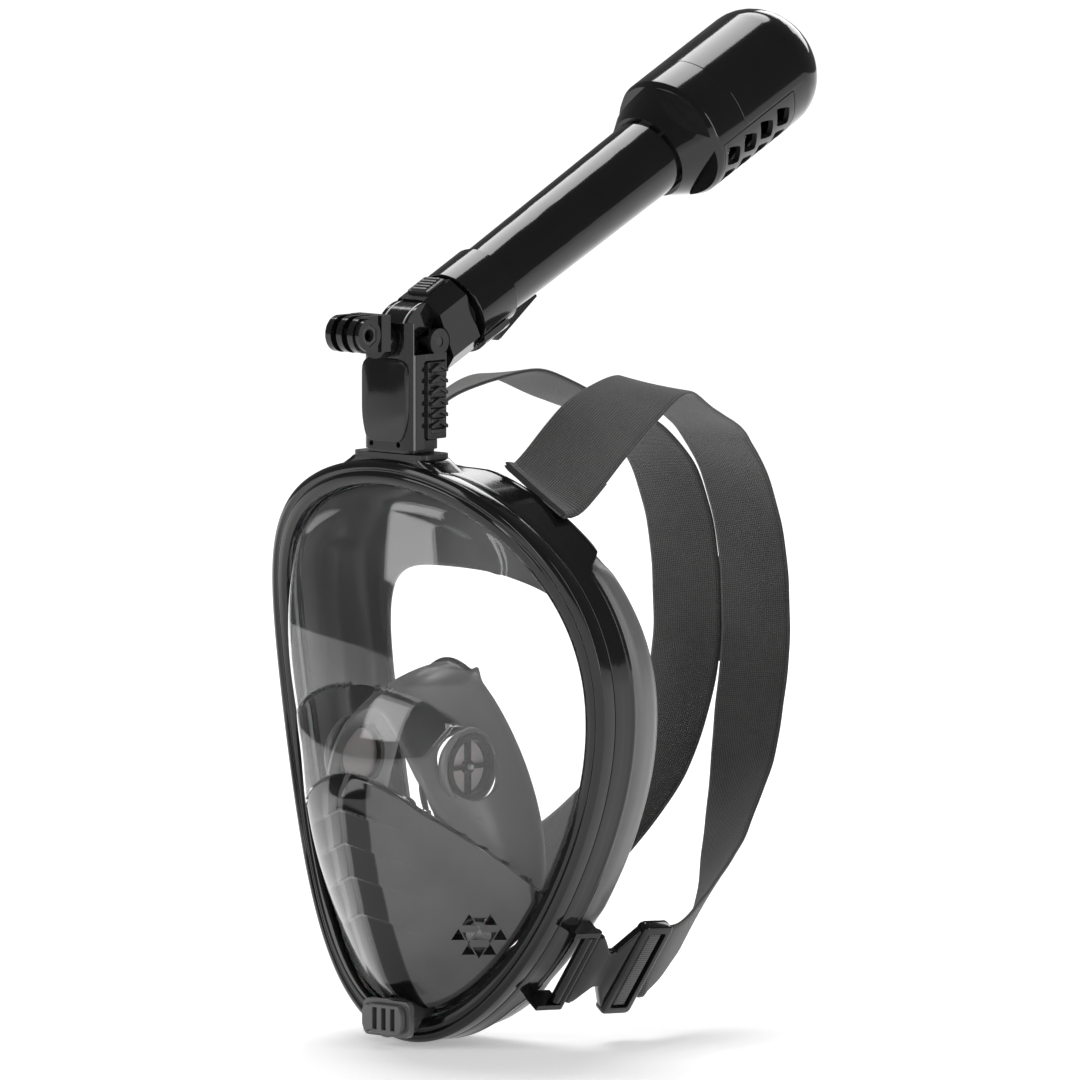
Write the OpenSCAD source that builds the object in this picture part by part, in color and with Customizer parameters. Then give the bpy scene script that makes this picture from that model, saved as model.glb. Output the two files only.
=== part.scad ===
// Full face snorkel mask: a clear front lens in a hard rim with a silicone face skirt, a nose and
// mouth cup inside, a folding dry-top snorkel that plugs into the top of the rim, and an elastic
// head harness.
// Frame: +Z up, -Y the way the wearer looks, +X the wearer's left. The origin is the middle of the
// face opening, in the plane of the skirt's rearmost edge. Millimetres.

/* [Mask rim] */
// Half of the rim's width, before it widens towards the brow
rim_w = 88.4; // [84:0.1:92]
// Height of the rim above its middle
rim_top = 121.5; // [116:0.5:126]
// Height of the rim below its middle
rim_low = 119.3; // [114:0.5:124]
// Depth from the face plane to the front of the rim at its middle
rim_depth = 58; // [56:0.5:60]
// Depth of the hard band behind the front of the rim
band_depth = 21; // [20:0.5:23]

/* [Snorkel] */
// Angle of the snorkel above the horizontal as it rests, folded back
tube_elev = 25.3; // [20:0.1:30]
// Outer radius of the tube at its lower end
tube_r_low = 15.6; // [15:0.1:16]
// Outer radius of the tube at its upper end
tube_r_high = 16.8; // [16.2:0.1:17]
// Distance from the fold hinge to the start of the dry top
head_start = 156; // [150:1:160]
// Length of the dry top
head_len = 98; // [94:1:102]
// Outer radius of the dry top
head_r = 27; // [26.5:0.1:27.5]

/* [Base column] */
// Width of the column that carries the snorkel
column_w = 27; // [26.5:0.1:27.5]
// Depth of the column from front to back
column_d = 20; // [19.5:0.1:20.5]
// Radius of the camera screw's hole
camera_bore_r = 2.55; // [2.5:0.01:2.65]

/* [Harness] */
// Width of the elastic strap
strap_w = 38; // [36:0.5:38.5]
// Thickness of the elastic strap
strap_t = 2; // [1.6:0.1:2.4]

/* [Hidden] */

$fn = 64;
eps = 0.01;          // overlap that keeps a cut open
gap = 0.3;           // air between parts that don't share a face
rim_steps = 72;      // stations round the rim
egg_k = 0.23;        // how much wider the rim is at the brow than at the chin
egg_k2 = 0.10;       // how much that widening grows towards the brow
side_sweep = 9;      // how far the sides of the rim sweep back
brow_lean = -7.5;    // how far the brow leans forward of the chin
end_lean = -19;      // how far both ends lean forward of the middle
bezel_w = 10;        // width of the bezel's front face
bezel_t = 3.5;       // thickness of the bezel's front face

// ---- The rim's outline and dish, which every part of the mask follows ----
function egg_swell(s) = 1 + egg_k * s + egg_k2 * s * s;
function rim_half(s, inset) = (s > 0 ? rim_top : rim_low) - inset;
function rim_x(phi, inset) = (rim_w - inset) * cos(phi) * egg_swell(sin(phi));
function rim_z(phi, inset) = rim_half(sin(phi), inset) * sin(phi);
function dish_y(x, z) =
    -rim_depth + side_sweep * pow(x / 90, 4) + brow_lean * z / 120 + end_lean * pow(z / 120, 2);
function rim_point(phi, inset, depth) =
    let (x = rim_x(phi, inset), z = rim_z(phi, inset), xo = rim_x(phi, 0), zo = rim_z(phi, 0))
    [x, dish_y(xo, zo) + depth, z];
function smooth(a, b, v) = let (t = min(1, max(0, (v - a) / (b - a)))) t * t * (3 - 2 * t);
function mix(a, b, t) = a + (b - a) * t;

// Ears for the top straps and lugs for the buckles, as a rise of 0 to 1 round the rim
function ear(phi) = let (d = abs(abs(phi - 90) - 30)) 1 - smooth(14, 20, d);
function lug(phi) = let (d = abs(abs(phi - 270) - 43)) 1 - smooth(8, 14, d);
function wrap(phi) = phi < 0 ? phi + 360 : phi;
function band_end(phi) = band_depth + 12 * ear(phi) + 3 * lug(phi);

// ---- Surface builders ----
// Closed ring: profile(phi) gives a closed loop of [inset, depth] pairs at each station
module rim_ring(profile, steps = rim_steps) {
    loops = [for (i = [0 : steps - 1]) let (phi = 360 * i / steps)
        [for (p = profile(phi)) rim_point(phi, p[0], p[1])]];
    ring_solid(loops);
}

// Closed tube of loops: joins every loop to the next one and the last to the first
module ring_solid(loops) {
    n = len(loops);
    m = len(loops[0]);
    points = [for (loop = loops) for (p = loop) p];
    faces = [for (i = [0 : n - 1]) for (j = [0 : m - 1]) let (
        a = i * m + j,
        b = i * m + (j + 1) % m,
        c = ((i + 1) % n) * m + (j + 1) % m,
        d = ((i + 1) % n) * m + j) each [[a, b, c], [a, c, d]]];
    polyhedron(points, faces, convexity = 8);
}

// Open sweep of loops, closed by a flat cap at each end
module sweep_solid(loops) {
    n = len(loops);
    m = len(loops[0]);
    points = [for (loop = loops) for (p = loop) p];
    sides = [for (i = [0 : n - 2]) for (j = [0 : m - 1]) let (
        a = i * m + j,
        b = i * m + (j + 1) % m,
        c = (i + 1) * m + (j + 1) % m,
        d = (i + 1) * m + j) each [[a, b, c], [a, c, d]]];
    first = [[for (j = [m - 1 : -1 : 0]) j]];
    last = [[for (j = [0 : m - 1]) (n - 1) * m + j]];
    polyhedron(points, concat(sides, first, last), convexity = 8);
}

// Shell between a front and a back grid of points, both rows by columns
module grid_shell(front, back) {
    rows = len(front);
    cols = len(front[0]);
    count = rows * cols;
    points = concat([for (row = front) for (p = row) p], [for (row = back) for (p = row) p]);
    function at(i, j) = i * cols + j;
    skin = [for (i = [0 : rows - 2]) for (j = [0 : cols - 2]) each [
        [at(i, j), at(i + 1, j + 1), at(i, j + 1)],
        [at(i, j), at(i + 1, j), at(i + 1, j + 1)],
        [count + at(i, j), count + at(i, j + 1), count + at(i + 1, j + 1)],
        [count + at(i, j), count + at(i + 1, j + 1), count + at(i + 1, j)]]];
    edge = concat(
        [for (j = [0 : cols - 1]) at(0, j)],
        [for (i = [1 : rows - 1]) at(i, cols - 1)],
        [for (j = [cols - 2 : -1 : 0]) at(rows - 1, j)],
        [for (i = [rows - 2 : -1 : 1]) at(i, 0)]);
    wall = [for (k = [0 : len(edge) - 1]) let (a = edge[k], b = edge[(k + 1) % len(edge)])
        each [[a, b, count + b], [a, count + b, count + a]]];
    polyhedron(points, concat(skin, wall), convexity = 8);
}

// ---- The face surface: the lens and the cover below it, seen as depth over x and z ----
bow_mid = 0.0049;    // how sharply the lens curves sideways at mid height
nose_w = 60;         // half width of the nose bulge
nose_out = 10;       // how far the nose bulge stands out
cover_t = 2.4;       // thickness of the lower cover
cover_recess = 6.4;  // how far the lens steps back under the cover

function lens_r(x, z, n = 4, t = 0) =
    let (sz = z / rim_half(z, bezel_w), s = t > 0.01 ? sz / t : sz, sx = x / (rim_w - bezel_w))
    n == 0 ? t : lens_r(x, z, n - 1, norm([sx / egg_swell(min(1, max(-1, s))), sz]));
function bow(z) = bow_mid - 0.000045 * z + 0.0000006 * z * z;
function front_y(x, z) = -96 + 12 * pow((z - 20) / 95, 2) + bow(z) * x * x;
function nose_bulge(x, z) =
    let (up = max(0, z + 12) / 42, down = smooth(0, 95, -12 - z))
    nose_out * pow(max(0, 1 - pow(x / nose_w, 2) - up * up), 0.75) * (1 - down);
function wall_y(x, z, t) =
    let (
        k = 1 / max(t, 0.3),
        xo = x * k * rim_w / (rim_w - bezel_w),
        zo = z * k * rim_half(z, 0) / rim_half(z, bezel_w))
    dish_y(xo, zo) + 3.8 - 90 * (1 - t);
function face_y(x, z, t) =
    let (a = front_y(x, z) - nose_bulge(x, z), b = wall_y(x, z, t))
    mix((a + b + sqrt((a - b) * (a - b) + 9)) / 2, b, smooth(0.9, 1, t));
function seam_z(x) = -5 - 41 * pow(x / 55, 2);
function recess(x, z, t) = cover_recess * smooth(-1, 4, seam_z(x) - z + 3) * smooth(0, 0.03, 1 - t);
function lens_point(phi, t, back) =
    let (x = t * rim_x(phi, bezel_w), z = t * rim_z(phi, bezel_w)) [x, face_y(x, z, t) + recess(x, z, t) + back, z];

module lens() {
    lens_t = 2.2;
    rings = [1, 0.97, 0.92, 0.86, 0.78, 0.68, 0.56, 0.44, 0.32, 0.2, 0.08];
    phis = [for (i = [0 : rim_steps]) 360 * i / rim_steps];
    function row(phi, back) = concat(
        [rim_point(phi, 4, 3.8 + back)],
        [for (t = rings) lens_point(phi, t, back)]);
    loops = [for (i = [0 : rim_steps - 1]) concat(row(phis[i], 0),
        [for (k = [len(rings) : -1 : 0]) row(phis[i], lens_t)[k]])];
    hub = len(rings);
    color([0.85, 0.9, 0.92, 0.4]) difference() {
        union() {
            ring_solid(loops);
            // The small disc that closes the middle of the rings
            sweep_solid([[for (r = loops) r[hub]], [for (r = loops) r[hub + 1]]]);
        }
        for (side = [-1, 1]) vent_axis(side) cylinder(r = exhaust_r, h = 30, center = true);
        purge_axis() cylinder(r = purge_r + 2.4, h = 70, center = true);
        screw_holes(1.5);
    }
}

// ---- Hard rim ----
module bezel() {
    color([0.05, 0.05, 0.055]) difference() {
        rim_ring(function(phi) [
            [0, 1.2], [1.2, 0], [3.4, -0.6], [4.4, 0.3], [7.5, -0.4], [9.4, 0.6], [bezel_w, 2],
            [bezel_w, bezel_t], [2.2, bezel_t], [2.2, 8], [0, 8]]);
        screw_pilots(1.6);
        purge_axis() cylinder(r = purge_r + 2.4, h = 40, center = true);
    }
}

module lens_gasket() {
    color([0.2, 0.2, 0.21]) difference() {
        rim_ring(function(phi) [[4.2, 6.2], [9.6, 6.2], [9.6, 7.7], [4.2, 7.7]]);
        screw_holes(1.5);
        purge_axis() cylinder(r = purge_r + 2.4, h = 40, center = true);
    }
}

module rear_frame() {
    color([0.03, 0.03, 0.035]) difference() {
        rim_ring(function(phi) let (d = band_end(phi)) [
            [0, 8.3], [2.4, 8.3], [2.4, 7.8], [11, 7.8], [11, 9.8], [2.8, 9.8], [2.8, d], [0, d]]);
        socket_block(0);
        for (side = [-1, 1]) at_buckle(side) at_arms();
        screw_holes(1.3);
        purge_axis() cylinder(r = purge_r + 2.4, h = 40, center = true);
    }
}

// Screws from behind the band's flange into the bezel, eight round the rim
screw_inset = 6.4;
screw_phis = [for (i = [0 : 7]) 22.5 + 45 * i];
module at_screws() for (phi = screw_phis) translate(rim_point(phi, screw_inset, 0)) rotate([90, 0, 0]) children();
module screw_holes(r) at_screws() cylinder(r = r, h = 26, center = true, $fn = 24);
// Blind holes, so that the bezel's front stays whole
module screw_pilots(r) at_screws() translate([0, 0, -13]) cylinder(r = r, h = 11.2, $fn = 24);
module frame_screws() color("silver") for (phi = screw_phis) translate(rim_point(phi, screw_inset, 10.3)) {
    rotate([90, 0, 0]) cylinder(r = 1.2, h = 8, $fn = 24);
    rotate([-90, 0, 0]) difference() {
        cylinder(r = 2.2, h = 1.4, $fn = 24);
        translate([0, 0, 0.8]) cylinder(r = 0.9, h = 1, $fn = 6);
    }
}

// Socket for the snorkel, set through the top of the band
socket_y = -72.5;
socket_w = 40;
socket_d = 19;
socket_in_y = -69.9;   // middle of the socket's inner block and of the plug
socket_z0 = 111;
socket_z1 = 124;
plug_w = 23;
plug_d = 9;
module rounded_block(w, d, h, r) linear_extrude(h) hull()
    for (x = [-1, 1], y = [-1, 1]) translate([x * (w / 2 - r), y * (d / 2 - r)]) circle(r, $fn = 32);
module socket_block(grow) translate([0, socket_in_y, socket_z0 - grow])
    rounded_block(30 + 2 * grow, 13 + 2 * grow, socket_z1 - socket_z0 + 2 * grow, 4);
module top_socket() {
    color([0.06, 0.06, 0.065]) difference() {
        union() {
            socket_block(0);
            // Plinth that caps the rim round the socket
            translate([0, socket_y, rim_top + 0.4]) rounded_block(socket_w, socket_d, 2.6, 5);
        }
        translate([0, socket_in_y, socket_z0 + 2]) rounded_block(plug_w + 0.8, plug_d + 0.8, 30, 4);
        for (x = [-1, 1]) translate([x * 6.2, socket_in_y, socket_z0 - 1]) rounded_block(9, 6, 5, 2);
    }
}

// ---- Silicone ----
// Inset of the lip round the face opening: deep at the forehead, slimmer at the cheeks and chin
function lip(phi) = 27 + 20 * pow(max(0, sin(phi)), 3) + 5 * pow(max(0, -sin(phi)), 2);
function lip_start(phi) = min(lip(phi) - 3, 22);
module face_skirt() {
    color([0.25, 0.25, 0.26]) difference() {
        rim_ring(function(phi) let (l = lip(phi), b = ear(phi) + lug(phi) > 0.01 ? 0 : 1.7, m = lip_start(phi)) [
            [6, 10.3], [6, 23], [6 - b, 28], [6.9 - b, 35], [10.4, 41.6], [14, 44.9], [m - 1, 44.4], [l - 1, 40],
            [l, 42], [m, 47], [15, 47.5], [9, 44], [4.7 - b, 36], [3.7 - b, 28], [3.7, 23], [3.7, 10.3]]);
        socket_block(gap);
        at_screws() cylinder(r = 2.6, h = 26, center = true, $fn = 24);
    }
}

// Nose and mouth cup: a tunnel from the lens back to the wearer's nose bridge, cheeks and chin
cup_steps = 48;
valve_x = 30.5;
valve_y = -67;
valve_z = -3;
valve_r = 13.4;
function cup_point(th, s, inset) =
    let (
        a = [(45 - inset) * cos(th) * (1 - 0.3 * sin(th)), -45 + 6 * pow(cos(th), 2),
            -30 + (sin(th) > 0 ? 66 - inset : 58 - inset) * sin(th)],
        xf = (32.5 - inset) * cos(th) * (1 - 0.3 * sin(th)),
        zf = -28 + (50 - inset) * sin(th),
        b = [xf, face_y(xf, zf, lens_r(xf, zf)) + cover_recess + 4.6, zf])
    a * s + b * (1 - s) + [3 * cos(th), 0, 3 * sin(th)] * 4 * s * (1 - s);
module nose_cup() {
    stations = [0, 0.25, 0.5, 0.75, 1];
    color([0.36, 0.36, 0.37]) difference() {
        ring_solid([for (i = [0 : cup_steps - 1]) let (th = 360 * i / cup_steps) concat(
            [for (s = stations) cup_point(th, s, 2)],
            [for (k = [4 : -1 : 0]) cup_point(th, stations[k], 0)])]);
        translate([0, valve_y, valve_z]) rotate([0, 90, 0]) cylinder(r = valve_r + 0.1, h = 90, center = true);
        for (side = [-1, 1]) vent_axis(side) translate([0, 0, -9]) cylinder(r = exhaust_r + 0.4, h = 8);
    }
}

module at_valve(side) translate([side * valve_x, valve_y, valve_z]) rotate([0, side * 90, 0]) children();
module inhale_valve_seats() color([0.85, 0.9, 0.92, 0.4]) for (side = [-1, 1]) at_valve(side) {
    difference() {
        translate([0, 0, -3]) cylinder(r = valve_r, h = 6.5);
        translate([0, 0, -4]) cylinder(r = valve_r - 2.2, h = 9);
    }
    difference() {
        union() {
            cylinder(r = 2.8, h = 2.2);
            for (a = [0, 90]) rotate(a) translate([-valve_r + 1.5, -0.9, 0]) cube([2 * valve_r - 3, 1.8, 2.2]);
        }
        translate([0, 0, -1]) cylinder(r = 1.3, h = 5);
    }
}
module inhale_flap(side) color([0.75, 0.75, 0.76]) at_valve(side) {
    translate([0, 0, -1]) cylinder(r = valve_r - 2.6, h = 0.9);
    translate([0, 0, -0.2]) cylinder(r = 1.05, h = 3.8, $fn = 24);
}
module inhale_flap_left() inhale_flap(1);
module inhale_flap_right() inhale_flap(-1);

// ---- Lower cover and its valves ----
exhaust_r = 7;
vent_x = 38;
vent_z = -72;
function vent_y() = face_y(vent_x, vent_z, lens_r(vent_x, vent_z));
vent_turn = 46;   // how far the vent faces round to the side
module vent_axis(side) translate([side * vent_x, vent_y() + cover_t, vent_z])
    rotate([0, 0, side * vent_turn]) rotate([90, 0, 0]) children();
// Point of the cover at rim angle phi, from the chin (v = 0) up to the seam (v = 1)
function cover_point(phi, v, back) =
    let (x = 0.965 * rim_x(phi, bezel_w), z0 = 0.965 * rim_z(phi, bezel_w), z = mix(z0, seam_z(x), v))
    [x, face_y(x, z, lens_r(x, z)) + back, z];
module lower_cover() {
    phis = [for (i = [0 : 36]) 213 + (327 - 213) * i / 36];
    rows = [for (j = [0 : 12]) j / 12];
    color([0.13, 0.13, 0.135]) difference() {
        grid_shell(
            [for (v = rows) [for (phi = phis) cover_point(phi, v, 0)]],
            [for (v = rows) [for (phi = phis) cover_point(phi, v, cover_t)]]);
        for (side = [-1, 1]) vent_axis(side) vent_lattice();
        purge_axis() cylinder(r = purge_r + 3, h = 40, center = true);
    }
}
// Two rows of triangles, point to point
module vent_lattice() for (row = [-1, 0, 1], k = [-1, 0, 1])
    translate([k * 5.2 + (row == 0 ? 0 : 2.6), row * 4.8, -12])
        rotate((row + k) % 2 == 0 ? 90 : -90) cylinder(r = 2.2, h = 30, $fn = 3);
module exhaust_valve_seats() color([0.2, 0.2, 0.21]) for (side = [-1, 1]) vent_axis(side)
    translate([0, 0, -6.4]) difference() {
        cylinder(r = exhaust_r - 0.3, h = 2.4);
        translate([0, 0, -1]) cylinder(r = exhaust_r - 2, h = 6);
    }
module exhaust_flap(side) color([0.7, 0.7, 0.7]) vent_axis(side) translate([0, 0, -3.9])
    cylinder(r = exhaust_r - 1.8, h = 0.6);
module exhaust_flap_left() exhaust_flap(1);
module exhaust_flap_right() exhaust_flap(-1);

// Drain valve through the chin of the rim
purge_r = 6;
module purge_axis() translate([0, -74, -108]) rotate([90, 0, 0]) children();
module purge_housing() color([0.04, 0.04, 0.045]) purge_axis() difference() {
    union() {
        translate([0, 0, -14]) cylinder(r = purge_r + 2, h = 22);
        translate([0, 0, 5.2]) rotate(180) rounded_block(26, 15, 2.8, 3);
    }
    translate([0, 0, -15]) cylinder(r = purge_r - 0.4, h = 24);
}
module purge_flap() color([0.8, 0.8, 0.8]) purge_axis() translate([0, 0, -1]) cylinder(r = purge_r - 0.9, h = 0.9);
module purge_cap() color([0.04, 0.04, 0.045]) purge_axis() translate([0, 0, 8.1]) difference() {
    rounded_block(22, 12, 3, 4);
    for (x = [-1, 0, 1]) translate([x * 5, -4.4, -1]) cube([2.4, 8.8, 6]);
}

// ---- Base column ----
col_z0 = 126;
col_z1 = 178;
cheek_z = 165;
hinge = [0, -64, 169.6];
drum_r = 16;
drum_w = 16;
pin_r = 2;
module column_shape(h, grow = 0) rounded_block(column_w + 2 * grow, column_d + 2 * grow, h, 5);
module column_solid() translate([0, socket_y, col_z0]) column_shape(col_z1 - col_z0);
module column_hollow() {
    translate([0, socket_y, col_z0 + 2.5]) rounded_block(column_w - 5, column_d - 4, 70, 3.5);
    // Room for the drum of the knuckle and an open back above the cheeks
    translate(hinge) rotate([0, 90, 0]) cylinder(r = drum_r + 0.4, h = drum_w + 1.2, center = true);
    translate([0, socket_y + 3.4, cheek_z]) translate([-20, -10, 0]) cube([40, 30, 40]);
}
split_y = -73;
release_z0 = 130;
release_h = 32;
module release_windows(grow) for (side = [-1, 1])
    translate([side * column_w / 2 - 6.2, -72.4 - grow, release_z0 - grow])
        cube([12.4, 11.4 + 2 * grow, release_h + 2 * grow]);
module base_front_shell() color([0.1, 0.1, 0.105]) difference() {
    column_solid();
    column_hollow();
    translate([-20, split_y, 100]) cube([40, 40, 100]);
    release_windows(gap);
    mount_boss_hole(4.2);
    base_screw_axes() cylinder(r = 1.1, h = 40, center = true, $fn = 24);
}
module base_rear_shell() color([0.07, 0.07, 0.075]) difference() {
    union() {
        column_solid();
        // Round ears that hold the hinge pin
        for (side = [-1, 1]) translate([side * (column_w / 2 - 1.2), hinge.y, hinge.z])
            rotate([0, 90, 0]) cylinder(r = 5.5, h = 2.4, center = true);
        for (side = [-1, 1]) translate([side * (column_w / 2 - 1.2) - 1.2, hinge.y - 5.5, hinge.z - 14])
            cube([2.4, 9.6, 14]);
    }
    difference() {
        column_hollow();
        for (side = [-1, 1]) translate([side * (column_w / 2 - 1.2), hinge.y, hinge.z])
            rotate([0, 90, 0]) cylinder(r = 5.5, h = 2.4, center = true);
    }
    translate([-20, split_y - 40 + 0.1, 100]) cube([40, 40, 100]);
    release_windows(gap);
    translate(hinge) rotate([0, 90, 0]) cylinder(r = pin_r + 0.05, h = 40, center = true);
    base_screw_axes() cylinder(r = 1.6, h = 40, center = true, $fn = 24);
    // Open bottom for the plug
    translate([0, socket_in_y, col_z0 - 1]) rounded_block(plug_w - 5, plug_d - 4, 8, 2);
}
module base_screw_axes() for (side = [-1, 1])
    translate([side * 7.5, -64.5, 128.2]) rotate([90, 0, 0]) children();
module base_screws() color("silver") base_screw_axes() {
    translate([0, 0, -4.2]) cylinder(r = 1, h = 14, $fn = 24);
}
module base_plug() color([0.08, 0.08, 0.085]) difference() {
    union() {
        translate([0, socket_in_y, 114]) rounded_block(plug_w, plug_d, 11.9, 4);
        translate([0, socket_y, 124.8]) rounded_block(column_w - 2, column_d - 2, 1.1, 4.6);
    }
    translate([0, socket_in_y, 113]) rounded_block(plug_w - 5, plug_d - 4, 14, 2);
    translate([0, socket_in_y, 117]) difference() {
        rounded_block(plug_w + 4, plug_d + 4, 2.2, 4);
        translate([0, 0, -1]) rounded_block(plug_w - 1.6, plug_d - 1.6, 5, 3.5);
    }
}
module plug_seal() color([0.5, 0.5, 0.5]) translate([0, socket_in_y, 117.1]) difference() {
    rounded_block(plug_w + 0.5, plug_d + 0.5, 2, 4);
    translate([0, 0, -1]) rounded_block(plug_w - 1.4, plug_d - 1.4, 5, 3.5);
}
module release_button(side) color([0.12, 0.12, 0.125])
    translate([side * (column_w / 2 - 1.1), -66.8, release_z0 + release_h / 2]) {
        cube([4.6, 11, release_h - 0.4], center = true);
        for (k = [-3 : 3]) translate([side * 2.3, 0, k * 4.2])
            cube([1.6, 8.4, 1.8], center = true);
    }
module release_button_left() release_button(1);
module release_button_right() release_button(-1);
module coil(r, wire, h, turns) {
    steps = 12;
    loops = [for (i = [0 : turns * steps]) let (a = 360 * i / steps, z = h * i / (turns * steps))
        [for (k = [0 : 5]) let (b = 60 * k)
            [(r + wire * cos(b)) * cos(a), (r + wire * cos(b)) * sin(a), z + wire * sin(b)]]];
    sweep_solid(loops);
}
module release_springs() color("silver") for (side = [-1, 1])
    translate([side * 5, -67.4, release_z0 + 12]) rotate([0, side * 90, 0]) coil(2.2, 0.3, 2.6, 3);

// Camera mount: three discs on a block in front of the column
mount_y = -102.3;
mount_z = 174.5;
disc_r = 7.5;
disc_t = 3;
disc_step = 6.1;
module mount_boss_hole(r) translate([0, -82, mount_z - 3.5]) rotate([90, 0, 0]) cylinder(r = r, h = 12, center = true);
module camera_mount() color([0.06, 0.06, 0.065]) difference() {
    union() {
        for (k = [-1 : 1]) translate([k * disc_step, mount_y, mount_z]) rotate([0, 90, 0]) {
            cylinder(r = disc_r, h = disc_t, center = true);
        }
        for (k = [-1 : 1]) translate([k * disc_step - disc_t / 2, mount_y, mount_z - disc_r])
            cube([disc_t, 12, 2 * disc_r]);
        translate([-8.6, mount_y + 8.8, mount_z - disc_r]) cube([17.2, 5.4, 2 * disc_r]);
        translate([0, -82.8, mount_z - 3.5]) rotate([90, 0, 0]) cylinder(r = 7.4, h = 6);
        translate([0, -80.6, mount_z - 3.5]) rotate([90, 0, 0]) cylinder(r = 4.1, h = 4);
        // Nut housing on the outer disc
        translate([disc_step + disc_t / 2, mount_y, mount_z]) rotate([0, 90, 0]) cylinder(r = 6.6, h = 2.6);
    }
    translate([0, mount_y, mount_z]) rotate([0, 90, 0]) cylinder(r = camera_bore_r, h = 60, center = true);
    translate([disc_step + disc_t / 2 + 0.2, mount_y, mount_z]) rotate([0, 90, 0]) cylinder(r = 4.65, h = 9, $fn = 6);
}
module camera_nut() color("silver") translate([disc_step + disc_t / 2 + 0.3, mount_y, mount_z])
    rotate([0, 90, 0]) difference() {
        cylinder(r = 4.55, h = 2, $fn = 6);
        translate([0, 0, -1]) cylinder(r = camera_bore_r + 0.1, h = 5);
    }

// ---- Fold hinge and knuckle, in the tube's own frame: +z runs up the tube ----
module on_tube() translate(hinge) rotate([tube_elev - 90, 0, 0]) children();
module hinge_pin() color("silver") translate(hinge) rotate([0, 90, 0])
    cylinder(r = pin_r, h = column_w - 0.8, center = true);
module hinge_seals() color([0.45, 0.45, 0.46]) for (side = [-1, 1])
    translate(hinge + [side * (drum_w / 2 - 2.2), 0, 0]) rotate([0, 90, 0]) rotate_extrude()
        translate([drum_r - 0.7, 0]) circle(0.7, $fn = 24);
module tube_knuckle() color([0.16, 0.16, 0.165]) difference() {
    union() {
        translate(hinge) rotate([0, 90, 0]) cylinder(r = drum_r, h = drum_w, center = true);
        // Eight-sided head under the tube
        on_tube() translate([0, 0, 6.5]) intersection() {
            translate([0, 0, 7]) cube([27, 32.6, 17.5], center = true);
            rotate(45) translate([0, 0, 7]) cube([33, 33, 30], center = true);
        }
    }
    on_tube() translate([0, 0, -7]) cylinder(r = 9.5, h = 60);
    on_tube() translate([0, 0, 17.2]) cylinder(r = 12.6, h = 60);
    translate(hinge) rotate([0, 90, 0]) cylinder(r = pin_r + 0.05, h = 60, center = true);
    for (side = [-1, 1]) translate(hinge + [side * (drum_w / 2 - 2.2), 0, 0]) rotate([0, 90, 0])
        rotate_extrude() translate([drum_r - 0.6, 0]) circle(0.85, $fn = 24);
    // Clearance round the column's ears and cheeks
    for (side = [-1, 1]) translate(hinge + [side * 12.6, 0, 0]) rotate([0, 90, 0])
        cylinder(r = 6, h = 4.4, center = true);
    on_tube() translate([0, -16.9, lock_z]) cube([12, 6.4, 12], center = true);
}
lock_z = 15;
module lock_button() color([0.03, 0.03, 0.035]) on_tube() translate([0, -15.9, lock_z]) {
    translate([0, -0.7, 0]) cube([11.2, 2, 11.2], center = true);
    for (k = [-2 : 2]) translate([0, -1.9, k * 2.1]) cube([8.4, 1.1, 1.2], center = true);
}
module lock_spring() color("silver") on_tube() translate([0, -14.1, lock_z]) rotate([-90, 0, 0]) coil(1.8, 0.12, 0.2, 2);
module tube_cradle() color([0.2, 0.2, 0.205]) on_tube() difference() {
    union() {
        intersection() {
            translate([-13.5, 6, 24.2]) cube([27, 14, 16]);
            translate([0, 0, 24]) cylinder(r = 19.2, h = 17);
        }
        // Spine that tapers away along the underside of the tube
        hull() {
            translate([-6, 16, 38]) cube([12, 5, 2]);
            translate([-2, 17, 68]) cube([4, 1.4, 2]);
        }
    }
    translate([0, 0, 20]) cylinder(r = 17.5, h = 80);
}
module tube_sleeve() color([0.03, 0.03, 0.03]) on_tube() difference() {
    union() {
        translate([0, 0, 24.2]) cylinder(r = 17.2, h = 22);
        translate([0, 0, 17.5]) cylinder(r = 12.3, h = 7);
    }
    translate([0, 0, 12]) cylinder(r = 9.6, h = 14);
    translate([0, 0, 25.8]) cylinder(r = tube_r_low + 0.05, h = 40);
}
module tube() color([0.09, 0.09, 0.095]) on_tube() rotate_extrude() polygon([
    [tube_r_low - 1.8, 26], [tube_r_low, 26], [tube_r_low, 46], [tube_r_high, head_start],
    [tube_r_high, head_start + 12], [tube_r_high - 1.8, head_start + 12], [tube_r_high - 1.8, head_start],
    [tube_r_low - 1.8, 46]]);
module tube_divider() color([0.3, 0.3, 0.3]) on_tube()
    translate([-tube_r_low + 2.2, -0.6, 28]) cube([2 * tube_r_low - 4.4, 1.2, head_start - 20]);

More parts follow.
